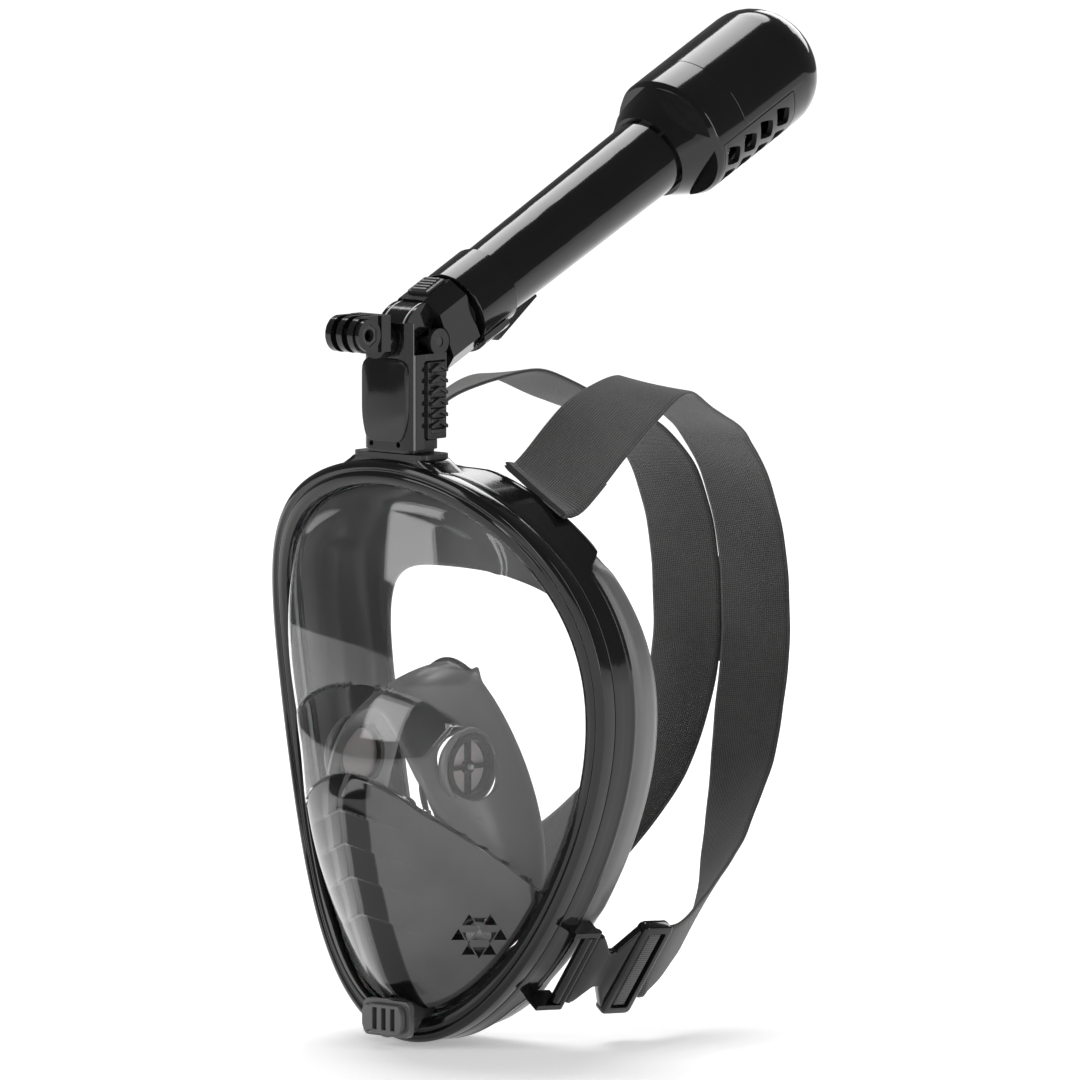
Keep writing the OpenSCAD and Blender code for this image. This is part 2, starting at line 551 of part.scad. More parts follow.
// ---- Dry top ----
head_wall = 2;
grille_z0 = head_start + 18;
grille_z1 = head_start + 66;
cap_z0 = head_start + 34;
module head_profile(r, z0, z1) rotate_extrude() polygon(concat(
    [[0, z0], [r, z0]],
    [for (a = [0 : 7.5 : 90]) [r * cos(a), z1 - 0.86 * r + 0.86 * r * sin(a)]]));
module head_shell(z0) difference() {
    head_profile(head_r, z0, head_start + head_len);
    head_profile(head_r - head_wall, z0 - 1, head_start + head_len - head_wall);
}
module rear_window(grow) intersection() {
    translate([-40, 3 - grow, grille_z0 - grow]) cube([80, 50, grille_z1 - grille_z0 + 2 * grow]);
    translate([0, 0, grille_z0 - 5]) cylinder(r = 40, h = 90);
}
module dry_top_collar() color([0.05, 0.05, 0.055]) on_tube() difference() {
    rotate_extrude() polygon([
        [tube_r_high + 0.05, head_start], [tube_r_high + 1.6, head_start], [head_r - 1, head_start + 15],
        [head_r, head_start + 17], [head_r, cap_z0 - 0.1], [head_r - head_wall, cap_z0 - 0.1],
        [head_r - head_wall, head_start + 18], [tube_r_high + 0.05, head_start + 12]]);
    rear_window(0.1);
    // Flats on the sides of the taper
    for (a = [45, 135, 225, 315]) rotate(a) translate([22.6, -20, head_start - 1]) rotate([0, -10, 0])
        translate([0, 0, -5]) cube([20, 40, 20]);
}
module dry_top_cap() color([0.07, 0.07, 0.075]) on_tube() difference() {
    head_shell(cap_z0);
    rear_window(0.1);
}
module dry_top_grille() color([0.14, 0.14, 0.145]) on_tube() intersection() {
    translate([0, 0, grille_z0]) difference() {
        cylinder(r = head_r, h = grille_z1 - grille_z0);
        translate([0, 0, -1]) cylinder(r = head_r - 2.6, h = 90);
        for (a = [-64 : 32 : 64], k = [0 : 3]) rotate(90 + a) translate([head_r - 6, -5.4, 3 + 11.2 * k])
            cube([12, 10.8, 8.6]);
    }
    rear_window(0);
}
float_z = head_start + 26;
module float() color([0.6, 0.6, 0.6]) on_tube() translate([0, 0, float_z]) difference() {
    cylinder(r = 17, h = 20);
    translate([0, 0, -1]) cylinder(r = 15, h = 19);
}
module float_seal() color([0.3, 0.3, 0.3]) on_tube() translate([0, 0, float_z + 20]) cylinder(r = 12, h = 1.6);

// ---- Harness ----
// Middle line of the left strap: ear, crown, back of the head, buckle
strap_path = [
    [51, -37.6, 112.2], [48.5, -8, 132], [44.5, 15, 142.5], [39.5, 37, 146.5], [32, 62, 136.5], [25, 84, 127],
    [21.8, 95.5, 119], [19.8, 108.5, 105], [19.3, 117.5, 84.5], [19.3, 122, 64], [19.3, 123.5, 44], [19.3, 123, 28],
    [20.5, 118, 5], [25, 108.5, -19.5], [33.5, 91, -42], [41.5, 76, -57.5], [50, 56, -70], [57, 37, -79.5],
    [61.5, 23, -85], [63.6, 13.5, -88]];
// Turn of the strap's width about +Y: it leans out over the brow and in at the jaw
strap_turn = [-30, -28, -16, -6, -3, 0, 0, 0, 0, 0, 0, 0, 4, 18, 36, 47, 54, 56, 56, 56];
function unit(v) = v / norm(v);
function strap_loop(side, i) =
    let (
        n = len(strap_path),
        p = strap_path[i],
        along = unit(strap_path[min(n - 1, i + 1)] - strap_path[max(0, i - 1)]),
        wide0 = [cos(strap_turn[i]), 0, sin(strap_turn[i])],
        wide = unit(wide0 - along * (wide0 * along)),
        out = cross(along, wide),
        h = strap_w / 2,
        t = strap_t / 2)
    [for (c = [[-h, -t], [h, -t], [h, t], [-h, t]]) let (q = p + wide * c[0] + out * c[1]) [side * q.x, q.y, q.z]];
module strap(side) color([0.22, 0.215, 0.205]) {
    loops = [for (i = [0 : len(strap_path) - 1]) strap_loop(side, i)];
    if (side < 0) sweep_solid(loops);
    else sweep_solid([for (i = [len(loops) - 1 : -1 : 0]) loops[i]]);
}
module strap_left() strap(1);
module strap_right() strap(-1);
// Tape sewn over the join between the straps, on the side away from the head
module back_seam_tape() color([0.16, 0.16, 0.155]) translate([-3, 124.8, 22]) cube([6, 1, 44]);
// Hard tabs on the band's ears that the top ends are sewn round
module strap_end_tabs() color([0.03, 0.03, 0.03]) for (side = [-1, 1])
    translate([side * 50.5, -45.2, 109]) rotate([-28, side * 30, 0]) cube([34, 4, 2.6], center = true);

// Buckle, in its own frame: x along the bars, y towards the strap, z in towards the face
buckle_at = [58.5, -29.6, -87.5];
buckle_turn = 56;   // how steeply the buckle stands, along the rim at the jaw
module at_buckle(side) mirror([side < 0 ? 1 : 0, 0, 0]) translate(buckle_at) rotate([0, -buckle_turn, 0]) rotate([-6, 0, 0]) children();
bar_r = 1.8;
module buckle(side) color([0.04, 0.04, 0.045]) at_buckle(side) difference() {
    union() {
        translate([-17, -5.2, -3.2]) cube([34, 10.4, 6.4]);
        hull() {
            translate([-17, 4.5, -1.6]) cube([34, 1, 4]);
            translate([-9, 13, -1.6]) cube([18, 2, 4]);
        }
        hull() {
            translate([-9, 13, -1.6]) cube([18, 2, 4]);
            translate([-23, 23, -1.6]) cube([46, 1, 4]);
        }
        translate([-23, 23, -2.2]) cube([46, 16, 5]);
    }
    translate([-20, -bar_r - 0.4, -4]) cube([40, 2 * bar_r + 0.8, 4 + bar_r + 0.4]);
    translate([-19.5, 26, -5]) cube([39, 4.6, 12]);
    translate([-19.5, 33, -5]) cube([39, 3.4, 12]);
}
module buckle_left() buckle(1);
module buckle_right() buckle(-1);
// Arms that carry the bar's ends: [place along the bar, reach in to the band]
buckle_arms = [[19, 6.6], [-19, 8.1]];
module at_arms() for (arm = buckle_arms) translate([arm[0] - 1.2, -13.5, -bar_r]) cube([2.4, 13.5, bar_r + arm[1]]);
module buckle_bars() color([0.03, 0.03, 0.03]) for (side = [-1, 1]) at_buckle(side) {
    rotate([0, 90, 0]) cylinder(r = bar_r, h = 40, center = true);
    at_arms();
}

bezel();
lens();
lens_gasket();
rear_frame();
frame_screws();
top_socket();
face_skirt();
nose_cup();
inhale_valve_seats();
inhale_flap_left();
inhale_flap_right();
lower_cover();
exhaust_valve_seats();
exhaust_flap_left();
exhaust_flap_right();
purge_housing();
purge_flap();
purge_cap();
base_front_shell();
base_rear_shell();
base_plug();
plug_seal();
base_screws();
release_button_left();
release_button_right();
release_springs();
camera_mount();
camera_nut();
hinge_pin();
hinge_seals();
tube_knuckle();
tube_cradle();
lock_button();
lock_spring();
tube_sleeve();
tube();
tube_divider();
dry_top_collar();
dry_top_cap();
dry_top_grille();
float();
float_seal();
strap_left();
strap_right();
back_seam_tape();
strap_end_tabs();
buckle_left();
buckle_right();
buckle_bars();
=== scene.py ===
"""Looks of the full face snorkel: shells, silicone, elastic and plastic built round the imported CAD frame."""
import math

import bmesh
import bpy
import numpy as np
from mathutils import Matrix, Vector


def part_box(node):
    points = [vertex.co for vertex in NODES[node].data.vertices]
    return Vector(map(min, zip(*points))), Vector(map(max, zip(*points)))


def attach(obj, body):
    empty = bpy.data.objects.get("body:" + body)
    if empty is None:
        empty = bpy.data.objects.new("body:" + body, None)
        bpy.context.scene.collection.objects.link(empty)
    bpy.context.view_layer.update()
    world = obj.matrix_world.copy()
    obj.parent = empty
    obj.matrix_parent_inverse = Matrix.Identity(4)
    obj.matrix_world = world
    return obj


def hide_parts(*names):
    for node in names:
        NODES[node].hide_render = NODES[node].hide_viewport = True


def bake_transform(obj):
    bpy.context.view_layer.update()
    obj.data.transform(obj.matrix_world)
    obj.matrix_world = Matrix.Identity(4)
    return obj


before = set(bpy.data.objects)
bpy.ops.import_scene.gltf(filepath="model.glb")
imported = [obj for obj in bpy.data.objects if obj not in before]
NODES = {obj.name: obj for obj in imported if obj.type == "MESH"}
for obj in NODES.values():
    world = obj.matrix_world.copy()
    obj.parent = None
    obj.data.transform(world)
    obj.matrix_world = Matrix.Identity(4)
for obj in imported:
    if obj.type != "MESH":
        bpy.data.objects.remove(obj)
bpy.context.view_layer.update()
MM = 0.001

# ---- Driving sizes, in millimetres, as the CAD states them; the rim's come from the bezel's own box ----
bezel_low, bezel_high = (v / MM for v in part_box("bezel"))
RIM_W = 88.4
RIM_TOP = bezel_high.z
RIM_LOW = -bezel_low.z
RIM_DEPTH = 58.0
BAND_DEPTH = 21.0
BEZEL_W = 10.0
EGG_K, EGG_K2 = 0.23, 0.10
SIDE_SWEEP, BROW_LEAN, END_LEAN = 9.0, -7.5, -19.0
BOW_MID = 0.0049
NOSE_W, NOSE_OUT = 60.0, 10.0
COVER_T, COVER_RECESS = 2.4, 6.4
# Outer reach of the painted black reflection strips beside the keel, in millimetres
PAINTED_REFLECTION_REACH = 11.0
RIM_STEPS = 240

# Exhaust vents of the lower cover and inhale valves of the nose cup
VENT_X, VENT_Z, VENT_TURN, EXHAUST_R = 38.0, -72.0, 46.0, 7.0
VALVE = (30.5, -67.0, -3.0)
VALVE_R = 13.4

# Snorkel: the hinge, the tube's rise above level, and the dry top's round head
HINGE = (0, -64, 169.6)
TUBE_ELEV = 25.3
HEAD_R, GRILLE_LOW, GRILLE_HIGH, GRILLE_HALF = 27.0, 174.2, 221.8, 83.0
GRILLE_WALL = 2.4
WINDOW_COLS, WINDOW_ROWS = 6, 4
WINDOW_STEP, WINDOW_RISE = 27.0, 11.3

# Harness: strap section, folded hem, and the floor under the object
STRAP_W, STRAP_T = 38.0, 1.7
HEM, HEM_T = 24.0, 1.3
FLOOR_Z = -120.5

# Camera: where it looks, the way back to it, its distance in metres and its lens
CAMERA_TARGET = (0.02835, -0.01975, 0.0860)
CAMERA_BACK = (0.6719, -0.7333, 0.1045)
CAMERA_DISTANCE = 6.147
CAMERA_LENS, CAMERA_SENSOR = 500, 36
COLLECTION = bpy.context.scene.collection


# ---- The rim and face surfaces, over arrays of x and z ----
def smooth(a, b, v):
    """0 below a, 1 above b, with a soft step between."""
    t = np.clip((np.asarray(v, float) - a) / (b - a), 0, 1)
    return t * t * (3 - 2 * t)


def egg_swell(s):
    return 1 + EGG_K * s + EGG_K2 * s * s


def rim_half(s, inset):
    """Height of the rim's upper or lower half, whichever the sign of s picks."""
    return np.where(np.asarray(s) > 0, RIM_TOP, RIM_LOW) - inset


def rim_xz(phi, inset):
    """Egg-shaped outline of the rim, drawn in by inset."""
    s, c = np.sin(phi), np.cos(phi)
    return (RIM_W - inset) * c * egg_swell(s), rim_half(s, inset) * s


def dish_y(x, z):
    """How the rim wraps back at the sides and leans at the brow and chin."""
    return -RIM_DEPTH + SIDE_SWEEP * (x / 90) ** 4 + BROW_LEAN * z / 120 + END_LEAN * (z / 120) ** 2


def rim_point(phi, inset, depth):
    x, z = rim_xz(phi, inset)
    xo, zo = rim_xz(phi, 0)
    return np.array([x, dish_y(xo, zo) + depth, z])


def degrees_from(phi, centre):
    return abs(abs(math.degrees(phi) % 360 - centre[0]) - centre[1])


def ear(phi):
    """1 at the two strap ears, 0 away from them."""
    return float(1 - smooth(14, 20, degrees_from(phi, (90, 30))))


def lug(phi):
    """1 at the two buckle lugs, 0 away from them."""
    return float(1 - smooth(8, 14, degrees_from(phi, (270, 43))))


def lens_r(x, z):
    """Share of the way from the middle of the lens to its edge."""
    sx, sz = x / (RIM_W - BEZEL_W), z / rim_half(z, BEZEL_W)
    t = np.zeros_like(sx)
    for _ in range(6):
        s = np.where(t > 0.01, sz / np.maximum(t, 0.01), sz)
        t = np.hypot(sx / egg_swell(np.clip(s, -1, 1)), sz)
    return t


def front_y(x, z):
    """Broad front of the lens, bowed across and down."""
    bow = BOW_MID - 0.000045 * z + 0.0000006 * z * z
    return -96 + 12 * ((z - 20) / 95) ** 2 + bow * x * x


def nose_bulge(x, z):
    """How far the lens stands out in front of the nose."""
    up = np.maximum(0, z + 12) / 42
    down = smooth(0, 95, -12 - z)
    return NOSE_OUT * np.maximum(0, 1 - (x / NOSE_W) ** 2 - up * up) ** 0.75 * (1 - down)


def wall_y(x, z, t):
    """Steep side wall that joins the lens to the rim."""
    k = 1 / np.maximum(t, 0.3)
    xo = x * k * RIM_W / (RIM_W - BEZEL_W)
    zo = z * k * rim_half(z, 0) / rim_half(z, BEZEL_W)
    return dish_y(xo, zo) + 3.8 - 90 * (1 - t)


def face_y(x, z, t=None, soft=9.0):
    """Front surface of the lens: front and wall blended over a corner as round as soft says."""
    x, z = np.asarray(x, float), np.asarray(z, float)
    t = lens_r(x, z) if t is None else t
    a, b = front_y(x, z) - nose_bulge(x, z), wall_y(x, z, t)
    near_rim = smooth(0.9, 1, t)
    return (a + b + np.sqrt((a - b) ** 2 + soft)) / 2 * (1 - near_rim) + b * near_rim


def seam_z(x):
    """Upper edge of the lower cover."""
    return -5 - 41 * (x / 55) ** 2


# ---- Mesh builders ----
def new_piece(name, verts, faces, sharp=35.0):
    mesh = bpy.data.meshes.new(name)
    mesh.from_pydata([tuple(float(c) * MM for c in v) for v in verts], [], faces)
    mesh.validate()
    obj = bpy.data.objects.new(name, mesh)
    COLLECTION.objects.link(obj)
    tidy_mesh(obj)
    mesh.shade_smooth()
    mesh.set_sharp_from_angle(angle=math.radians(sharp))
    return obj


def tidy_mesh(obj):
    bm = bmesh.new()
    bm.from_mesh(obj.data)
    bmesh.ops.remove_doubles(bm, verts=bm.verts, dist=1e-6)
    bmesh.ops.recalc_face_normals(bm, faces=bm.faces)
    bm.to_mesh(obj.data)
    bm.free()


def loop_faces(n, m, closed):
    faces = []
    for i in range(n if closed else n - 1):
        for j in range(m):
            a, b = i * m + j, i * m + (j + 1) % m
            c, d = ((i + 1) % n) * m + (j + 1) % m, ((i + 1) % n) * m + j
            faces.append((a, b, c, d))
    if not closed:
        faces.append(tuple(range(m))[::-1])
        faces.append(tuple((n - 1) * m + j for j in range(m)))
    return faces


def loft(name, loops, closed=True, sharp=35.0):
    verts = [p for loop in loops for p in loop]
    return new_piece(name, verts, loop_faces(len(loops), len(loops[0]), closed), sharp)


def rim_loft(name, profile, sharp=35.0):
    phis = np.linspace(0, 2 * math.pi, RIM_STEPS, endpoint=False)
    return loft(name, [[rim_point(phi, i, d) for i, d in profile(phi)] for phi in phis], True, sharp)


def shell_from_grids(name, front, back, sharp=35.0):
    """Closed shell between two grids of points, rows by columns."""
    rows, cols = len(front), len(front[0])
    count = rows * cols
    verts = [p for row in front for p in row] + [p for row in back for p in row]
    at = lambda i, j: i * cols + j
    faces = []
    for i in range(rows - 1):
        for j in range(cols - 1):
            quad = (at(i, j), at(i, j + 1), at(i + 1, j + 1), at(i + 1, j))
            faces.append(quad)
            faces.append(tuple(count + k for k in quad[::-1]))
    edge = [at(0, j) for j in range(cols)] + [at(i, cols - 1) for i in range(1, rows)]
    edge += [at(rows - 1, j) for j in range(cols - 2, -1, -1)] + [at(i, 0) for i in range(rows - 2, 0, -1)]
    for a, b in zip(edge, edge[1:] + edge[:1]):
        faces.append((a, b, count + b, count + a))
    return new_piece(name, verts, faces, sharp)


def apply_modifiers(obj):
    bpy.context.view_layer.update()
    evaluated = obj.evaluated_get(bpy.context.evaluated_depsgraph_get())
    mesh = bpy.data.meshes.new_from_object(evaluated)
    obj.modifiers.clear()
    obj.data = mesh


def cut(obj, cutters, sharp=35.0):
    for cutter in cutters:
        mod = obj.modifiers.new("cut", "BOOLEAN")
        mod.operation, mod.solver, mod.object = "DIFFERENCE", "EXACT", cutter
    apply_modifiers(obj)
    for cutter in cutters:
        bpy.data.objects.remove(cutter)
    obj.data.shade_smooth()
    obj.data.set_sharp_from_angle(angle=math.radians(sharp))


def smooth_curve(points, per_span=10):
    """Catmull-Rom curve through rows of numbers."""
    pts = np.array(points, float)
    pts = np.vstack([2 * pts[0] - pts[1], pts, 2 * pts[-1] - pts[-2]])
    out = []
    for i in range(1, len(pts) - 2):
        p0, p1, p2, p3 = pts[i - 1 : i + 3]
        for t in np.linspace(0, 1, per_span, endpoint=False):
            out.append(0.5 * (2 * p1 + (p2 - p0) * t + (2 * p0 - 5 * p1 + 4 * p2 - p3) * t ** 2
                              + (3 * p1 - p0 - 3 * p2 + p3) * t ** 3))
    out.append(pts[-2])
    return np.array(out)


# ---- Materials ----
class Nodes:
    """Short names for building one procedural material."""

    def __init__(self, name, base, roughness, **sockets):
        self.mat = bpy.data.materials.new(name)
        self.mat.use_nodes = True
        self.tree = self.mat.node_tree
        self.bsdf = self.tree.nodes["Principled BSDF"]
        self.bsdf.inputs["Base Color"].default_value = (*base, 1)
        self.bsdf.inputs["Roughness"].default_value = roughness
        for key, value in sockets.items():
            self.bsdf.inputs[key.replace("_", " ")].default_value = value
        self.coords = self.tree.nodes.new("ShaderNodeTexCoord")

    def add(self, kind, **values):
        node = self.tree.nodes.new("ShaderNode" + kind)
        for key, value in values.items():
            if key in node.inputs:
                node.inputs[key].default_value = value
            else:
                setattr(node, key, value)
        return node

    def link(self, a, b):
        self.tree.links.new(a, b)

    def noise(self, scale, detail=4.0, source="Object"):
        node = self.add("TexNoise", Scale=scale, Detail=detail)
        self.link(self.coords.outputs[source], node.inputs["Vector"])
        return node.outputs["Fac"]

    def ramp(self, fac, low, high, pos=(0.35, 0.65)):
        node = self.add("ValToRGB")
        node.color_ramp.elements[0].position, node.color_ramp.elements[1].position = pos
        node.color_ramp.elements[0].color = (*low, 1)
        node.color_ramp.elements[1].color = (*high, 1)
        self.link(fac, node.inputs["Fac"])
        return node.outputs["Color"]

    def map(self, fac, low, high):
        node = self.add("MapRange")
        node.inputs["To Min"].default_value, node.inputs["To Max"].default_value = low, high
        self.link(fac, node.inputs["Value"])
        return node.outputs["Result"]

    def bump(self, height, strength, distance, after=None):
        node = self.add("Bump", Strength=strength, Distance=distance)
        self.link(height, node.inputs["Height"])
        if after is not None:
            self.link(after, node.inputs["Normal"])
        self.link(node.outputs["Normal"], self.bsdf.inputs["Normal"])
        return node.outputs["Normal"]

    def edge_wear(self, base, worn, amount=0.5):
        """Lightens convex edges, where handling polishes them."""
        geometry = self.add("NewGeometry")
        mask = self.add("MapRange")
        mask.inputs["From Min"].default_value, mask.inputs["From Max"].default_value = 0.52, 0.62
        mask.inputs["To Max"].default_value = amount
        self.link(geometry.outputs["Pointiness"], mask.inputs["Value"])
        mix = self.add("Mix", data_type="RGBA")
        self.link(mask.outputs["Result"], mix.inputs["Factor"])
        if isinstance(base, tuple):
            mix.inputs["A"].default_value = (*base, 1)
        else:
            self.link(base, mix.inputs["A"])
        mix.inputs["B"].default_value = (*worn, 1)
        self.link(mix.outputs["Result"], self.bsdf.inputs["Base Color"])


def gloss_plastic(name, tone, roughness=0.09, coat=0.1):
    """Polished moulded ABS: a faint flow mottle, orange-peel bump and hairline smears."""
    low, high = tuple(tone * 0.85 for _ in range(3)), (tone * 1.12, tone * 1.12, tone * 1.16)
    n = Nodes(name, high, roughness, Coat_Weight=coat, Coat_Roughness=0.04, Specular_IOR_Level=0.4)
    mottle = n.ramp(n.noise(28, 5), low, high)
    n.edge_wear(mottle, (tone * 2.2 + 0.01,) * 3, 0.35)
    n.link(n.map(n.noise(95, 6), roughness * 0.75, roughness * 1.5), n.bsdf.inputs["Roughness"])
    peel = n.bump(n.noise(420, 2), 0.05, 0.0002)
    n.bump(n.noise(60, 2), 0.04, 0.0006, peel)
    return n.mat


def cover_gloss(name):
    """Grey gloss with a painted reflection: a near-black strip down each flank of the centre keel."""
    mat = gloss_plastic(name, 0.09, 0.12)
    tree = mat.node_tree
    coords = tree.nodes.new("ShaderNodeTexCoord")
    split = tree.nodes.new("ShaderNodeSeparateXYZ")
    tree.links.new(coords.outputs["Object"], split.inputs["Vector"])
    aside = tree.nodes.new("ShaderNodeMath")
    aside.operation = "ABSOLUTE"
    tree.links.new(split.outputs["X"], aside.inputs[0])
    mask = tree.nodes.new("ShaderNodeValToRGB")
    stops = mask.color_ramp.elements
    stops[0].position, stops[0].color = 0.05, (0, 0, 0, 1)
    stops[1].position, stops[1].color = 0.075, (1, 1, 1, 1)
    for place_at, level in ((0.46, 1), (0.5, 0)):
        stop = stops.new(place_at)
        stop.color = (level, level, level, 1)
    scale = tree.nodes.new("ShaderNodeMath")
    scale.operation = "MULTIPLY"
    scale.inputs[1].default_value = 1 / (PAINTED_REFLECTION_REACH * 2 * MM)
    tree.links.new(aside.outputs[0], scale.inputs[0])
    tree.links.new(scale.outputs[0], mask.inputs["Fac"])
    bsdf = tree.nodes["Principled BSDF"]
    grey = bsdf.inputs["Base Color"].links[0].from_socket
    mix = tree.nodes.new("ShaderNodeMix")
    mix.data_type = "RGBA"
    tree.links.new(mask.outputs["Color"], mix.inputs["Factor"])
    tree.links.new(grey, mix.inputs["A"])
    # Painted reflection: near-black base colour inside the strips beside the keel
    mix.inputs["B"].default_value = (0.004, 0.004, 0.004, 1)
    tree.links.new(mix.outputs["Result"], bsdf.inputs["Base Color"])
    return mat


def satin_plastic(name, tone, roughness=0.42):
    """Spark-eroded moulded plastic with a fine even grain."""
    low, high = (tone * 0.8,) * 3, (tone * 1.2,) * 3
    n = Nodes(name, high, roughness)
    n.edge_wear(n.ramp(n.noise(60, 6), low, high), (tone * 2.5 + 0.015,) * 3, 0.5)
    n.link(n.map(n.noise(260, 4), roughness - 0.08, roughness + 0.1), n.bsdf.inputs["Roughness"])
    n.bump(n.noise(2600, 2), 0.25, 0.00015)
    return n.mat


def silicone(name, tone, roughness=0.36, scatter=0.08):
    """Liquid silicone: soft sheen, slight haze, a little light through thin lips."""
    low, high = (tone * 0.88,) * 3, (tone * 1.1,) * 3
    n = Nodes(name, high, roughness, Subsurface_Weight=scatter, Subsurface_Scale=0.004,
              Coat_Weight=0.15, Coat_Roughness=0.3, Sheen_Weight=0.12)
    n.link(n.ramp(n.noise(18, 5), low, high), n.bsdf.inputs["Base Color"])
    n.link(n.map(n.noise(140, 5), roughness - 0.07, roughness + 0.1), n.bsdf.inputs["Roughness"])
    fine = n.bump(n.noise(1500, 2), 0.12, 0.0001)
    n.bump(n.noise(45, 3), 0.1, 0.0006, fine)
    return n.mat


def clear_plastic(name, tint=(0.985, 0.985, 0.985)):
    """Clear polycarbonate with the faint smears and flow ripple of a moulded window."""
    n = Nodes(name, tint, 0.01, Transmission_Weight=1.0, IOR=1.45, Specular_IOR_Level=0.5)
    n.link(n.map(n.noise(35, 6), 0.0, 0.03), n.bsdf.inputs["Roughness"])
    n.bump(n.noise(9, 2), 0.03, 0.0008)
    return n.mat


def steel(name):
    """Turned stainless steel with fine lathe marks."""
    n = Nodes(name, (0.62, 0.62, 0.63), 0.25, Metallic=1.0)
    marks = n.noise(900, 3)
    n.link(n.ramp(n.noise(60, 4), (0.5, 0.5, 0.51), (0.68, 0.68, 0.69)), n.bsdf.inputs["Base Color"])
    n.link(n.map(marks, 0.18, 0.36), n.bsdf.inputs["Roughness"])
    n.bump(marks, 0.1, 0.0001)
    return n.mat


def foam(name):
    """Closed-cell float foam with small pores."""
    n = Nodes(name, (0.5, 0.5, 0.5), 0.7)
    cells = n.add("TexVoronoi", Scale=900)
    n.link(n.coords.outputs["Object"], cells.inputs["Vector"])
    tones = n.ramp(cells.outputs["Distance"], (0.36, 0.36, 0.36), (0.55, 0.55, 0.55))
    n.link(tones, n.bsdf.inputs["Base Color"])
    n.link(n.map(n.noise(200), 0.6, 0.8), n.bsdf.inputs["Roughness"])
    n.bump(cells.outputs["Distance"], 0.4, 0.0002)
    return n.mat


def elastic_weave(name, tone=0.04):
    """Woven elastic: warp ribs along the strap crossed by weft rows, from the strap's own UVs in metres."""
    n = Nodes(name, (tone,) * 3, 0.8, Sheen_Weight=0.35, Sheen_Roughness=0.5)
    def wave(direction, scale):
        node = n.add("TexWave", Scale=scale, Distortion=0.6, wave_type="BANDS", bands_direction=direction)
        node.inputs["Detail"].default_value = 2.0
        node.inputs["Detail Scale"].default_value = 3.0
        n.link(n.coords.outputs["UV"], node.inputs["Vector"])
        return node.outputs["Fac"]
    warp, weft = wave("X", 300.0), wave("Y", 380.0)
    both = n.add("Math", operation="MULTIPLY")
    n.link(warp, both.inputs[0])
    n.link(weft, both.inputs[1])
    mixed = n.add("Mix", data_type="RGBA", blend_type="MULTIPLY")
    mixed.inputs["Factor"].default_value = 0.7
    dark = (tone * 0.8, tone * 0.79, tone * 0.76)
    light = (tone * 1.3, tone * 1.28, tone * 1.22)
    n.link(n.ramp(n.noise(24, 6), dark, light), mixed.inputs["A"])
    n.link(n.ramp(both.outputs[0], (0.45, 0.45, 0.45), (1.6, 1.6, 1.6), (0.05, 0.6)), mixed.inputs["B"])
    n.link(mixed.outputs["Result"], n.bsdf.inputs["Base Color"])
    n.link(n.map(n.noise(300, 4), 0.7, 0.92), n.bsdf.inputs["Roughness"])
    threads = n.bump(both.outputs[0], 0.75, 0.0004)
    n.bump(n.noise(700, 3), 0.2, 0.0002, threads)
    return n.mat


def paper_floor():
    """White sweep that glows a little, so that it stays white out to the edge of the picture."""
    n = Nodes("floor_paper", (0.9, 0.9, 0.9), 0.7, Emission_Strength=0.34)
    n.bsdf.inputs["Emission Color"].default_value = (1, 1, 1, 1)
    n.link(n.ramp(n.noise(3, 3), (0.89, 0.89, 0.89), (0.91, 0.91, 0.91)), n.bsdf.inputs["Base Color"])
    return n.mat


MATERIALS = {
    "gloss_black": gloss_plastic("gloss_black", 0.005),
    "grey_gloss": gloss_plastic("grey_gloss", 0.09, 0.12),
    "clear": clear_plastic("clear"),
    "skirt_silicone": silicone("skirt_silicone", 0.105, 0.34, 0.03),
    "cup_silicone": silicone("cup_silicone", 0.13, 0.3, 0.04),
    "valve_silicone": silicone("valve_silicone", 0.55, 0.3, 0.3),
    "satin_black": satin_plastic("satin_black", 0.008, 0.36),
    "elastic": elastic_weave("elastic"),
    "stainless": steel("stainless"),
    "float_foam": foam("float_foam"),
    "thread": satin_plastic("thread", 0.03, 0.7),
    "dark_steel": satin_plastic("dark_steel", 0.012, 0.3),
    "cover_gloss": cover_gloss("cover_gloss"),
}


def dress(obj, slot):
    obj.data.materials.clear()
    obj.data.materials.append(MATERIALS[slot])


def place(obj, body, slot, *replaced):
    """Gives a new piece its material and body, and hides the CAD nodes that it stands for."""
    dress(obj, slot)
    if replaced:
        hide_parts(*replaced)
    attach(obj, body)
    return obj


def soften_edges(obj, width):
    weld = obj.modifiers.new("weld", "WELD")
    weld.merge_threshold = 1e-5
    bevel = obj.modifiers.new("edge", "BEVEL")
    bevel.width, bevel.segments, bevel.limit_method = width, 2, "ANGLE"
    bevel.angle_limit = math.radians(32)
    obj.modifiers.new("normals", "WEIGHTED_NORMAL").keep_sharp = True


# ---- Rim, gasket line and skirt ----
def rounded(profile, radius, steps=4):
    """Closed loop of [inset, depth] corners, each turned into a small round."""
    pts = np.array(profile, float)
    out = []
    for i, p in enumerate(pts):
        a, b = pts[i - 1] - p, pts[(i + 1) % len(pts)] - p
        la, lb = np.linalg.norm(a), np.linalg.norm(b)
        r = min(radius, 0.42 * la, 0.42 * lb)
        for t in np.linspace(0, 1, steps):
            out.append((1 - t) ** 2 * (p + a / la * r) + 2 * t * (1 - t) * p + t * t * (p + b / lb * r))
    return out


def build_bezel():
    front = [(0, 1.4), (1.2, 0), (3.0, -0.7), (3.9, 0.2), (4.5, 0.3), (5.4, -0.5), (7.7, -0.6), (9.5, 0.4)]
    loop = front + [(BEZEL_W, 2), (BEZEL_W, 3.5), (2.2, 3.5), (2.2, 8), (0, 8)]
    bezel = rim_loft("rim_front", lambda phi: rounded(loop, 0.5), 60)
    return place(bezel, "mask", "gloss_black", "bezel")


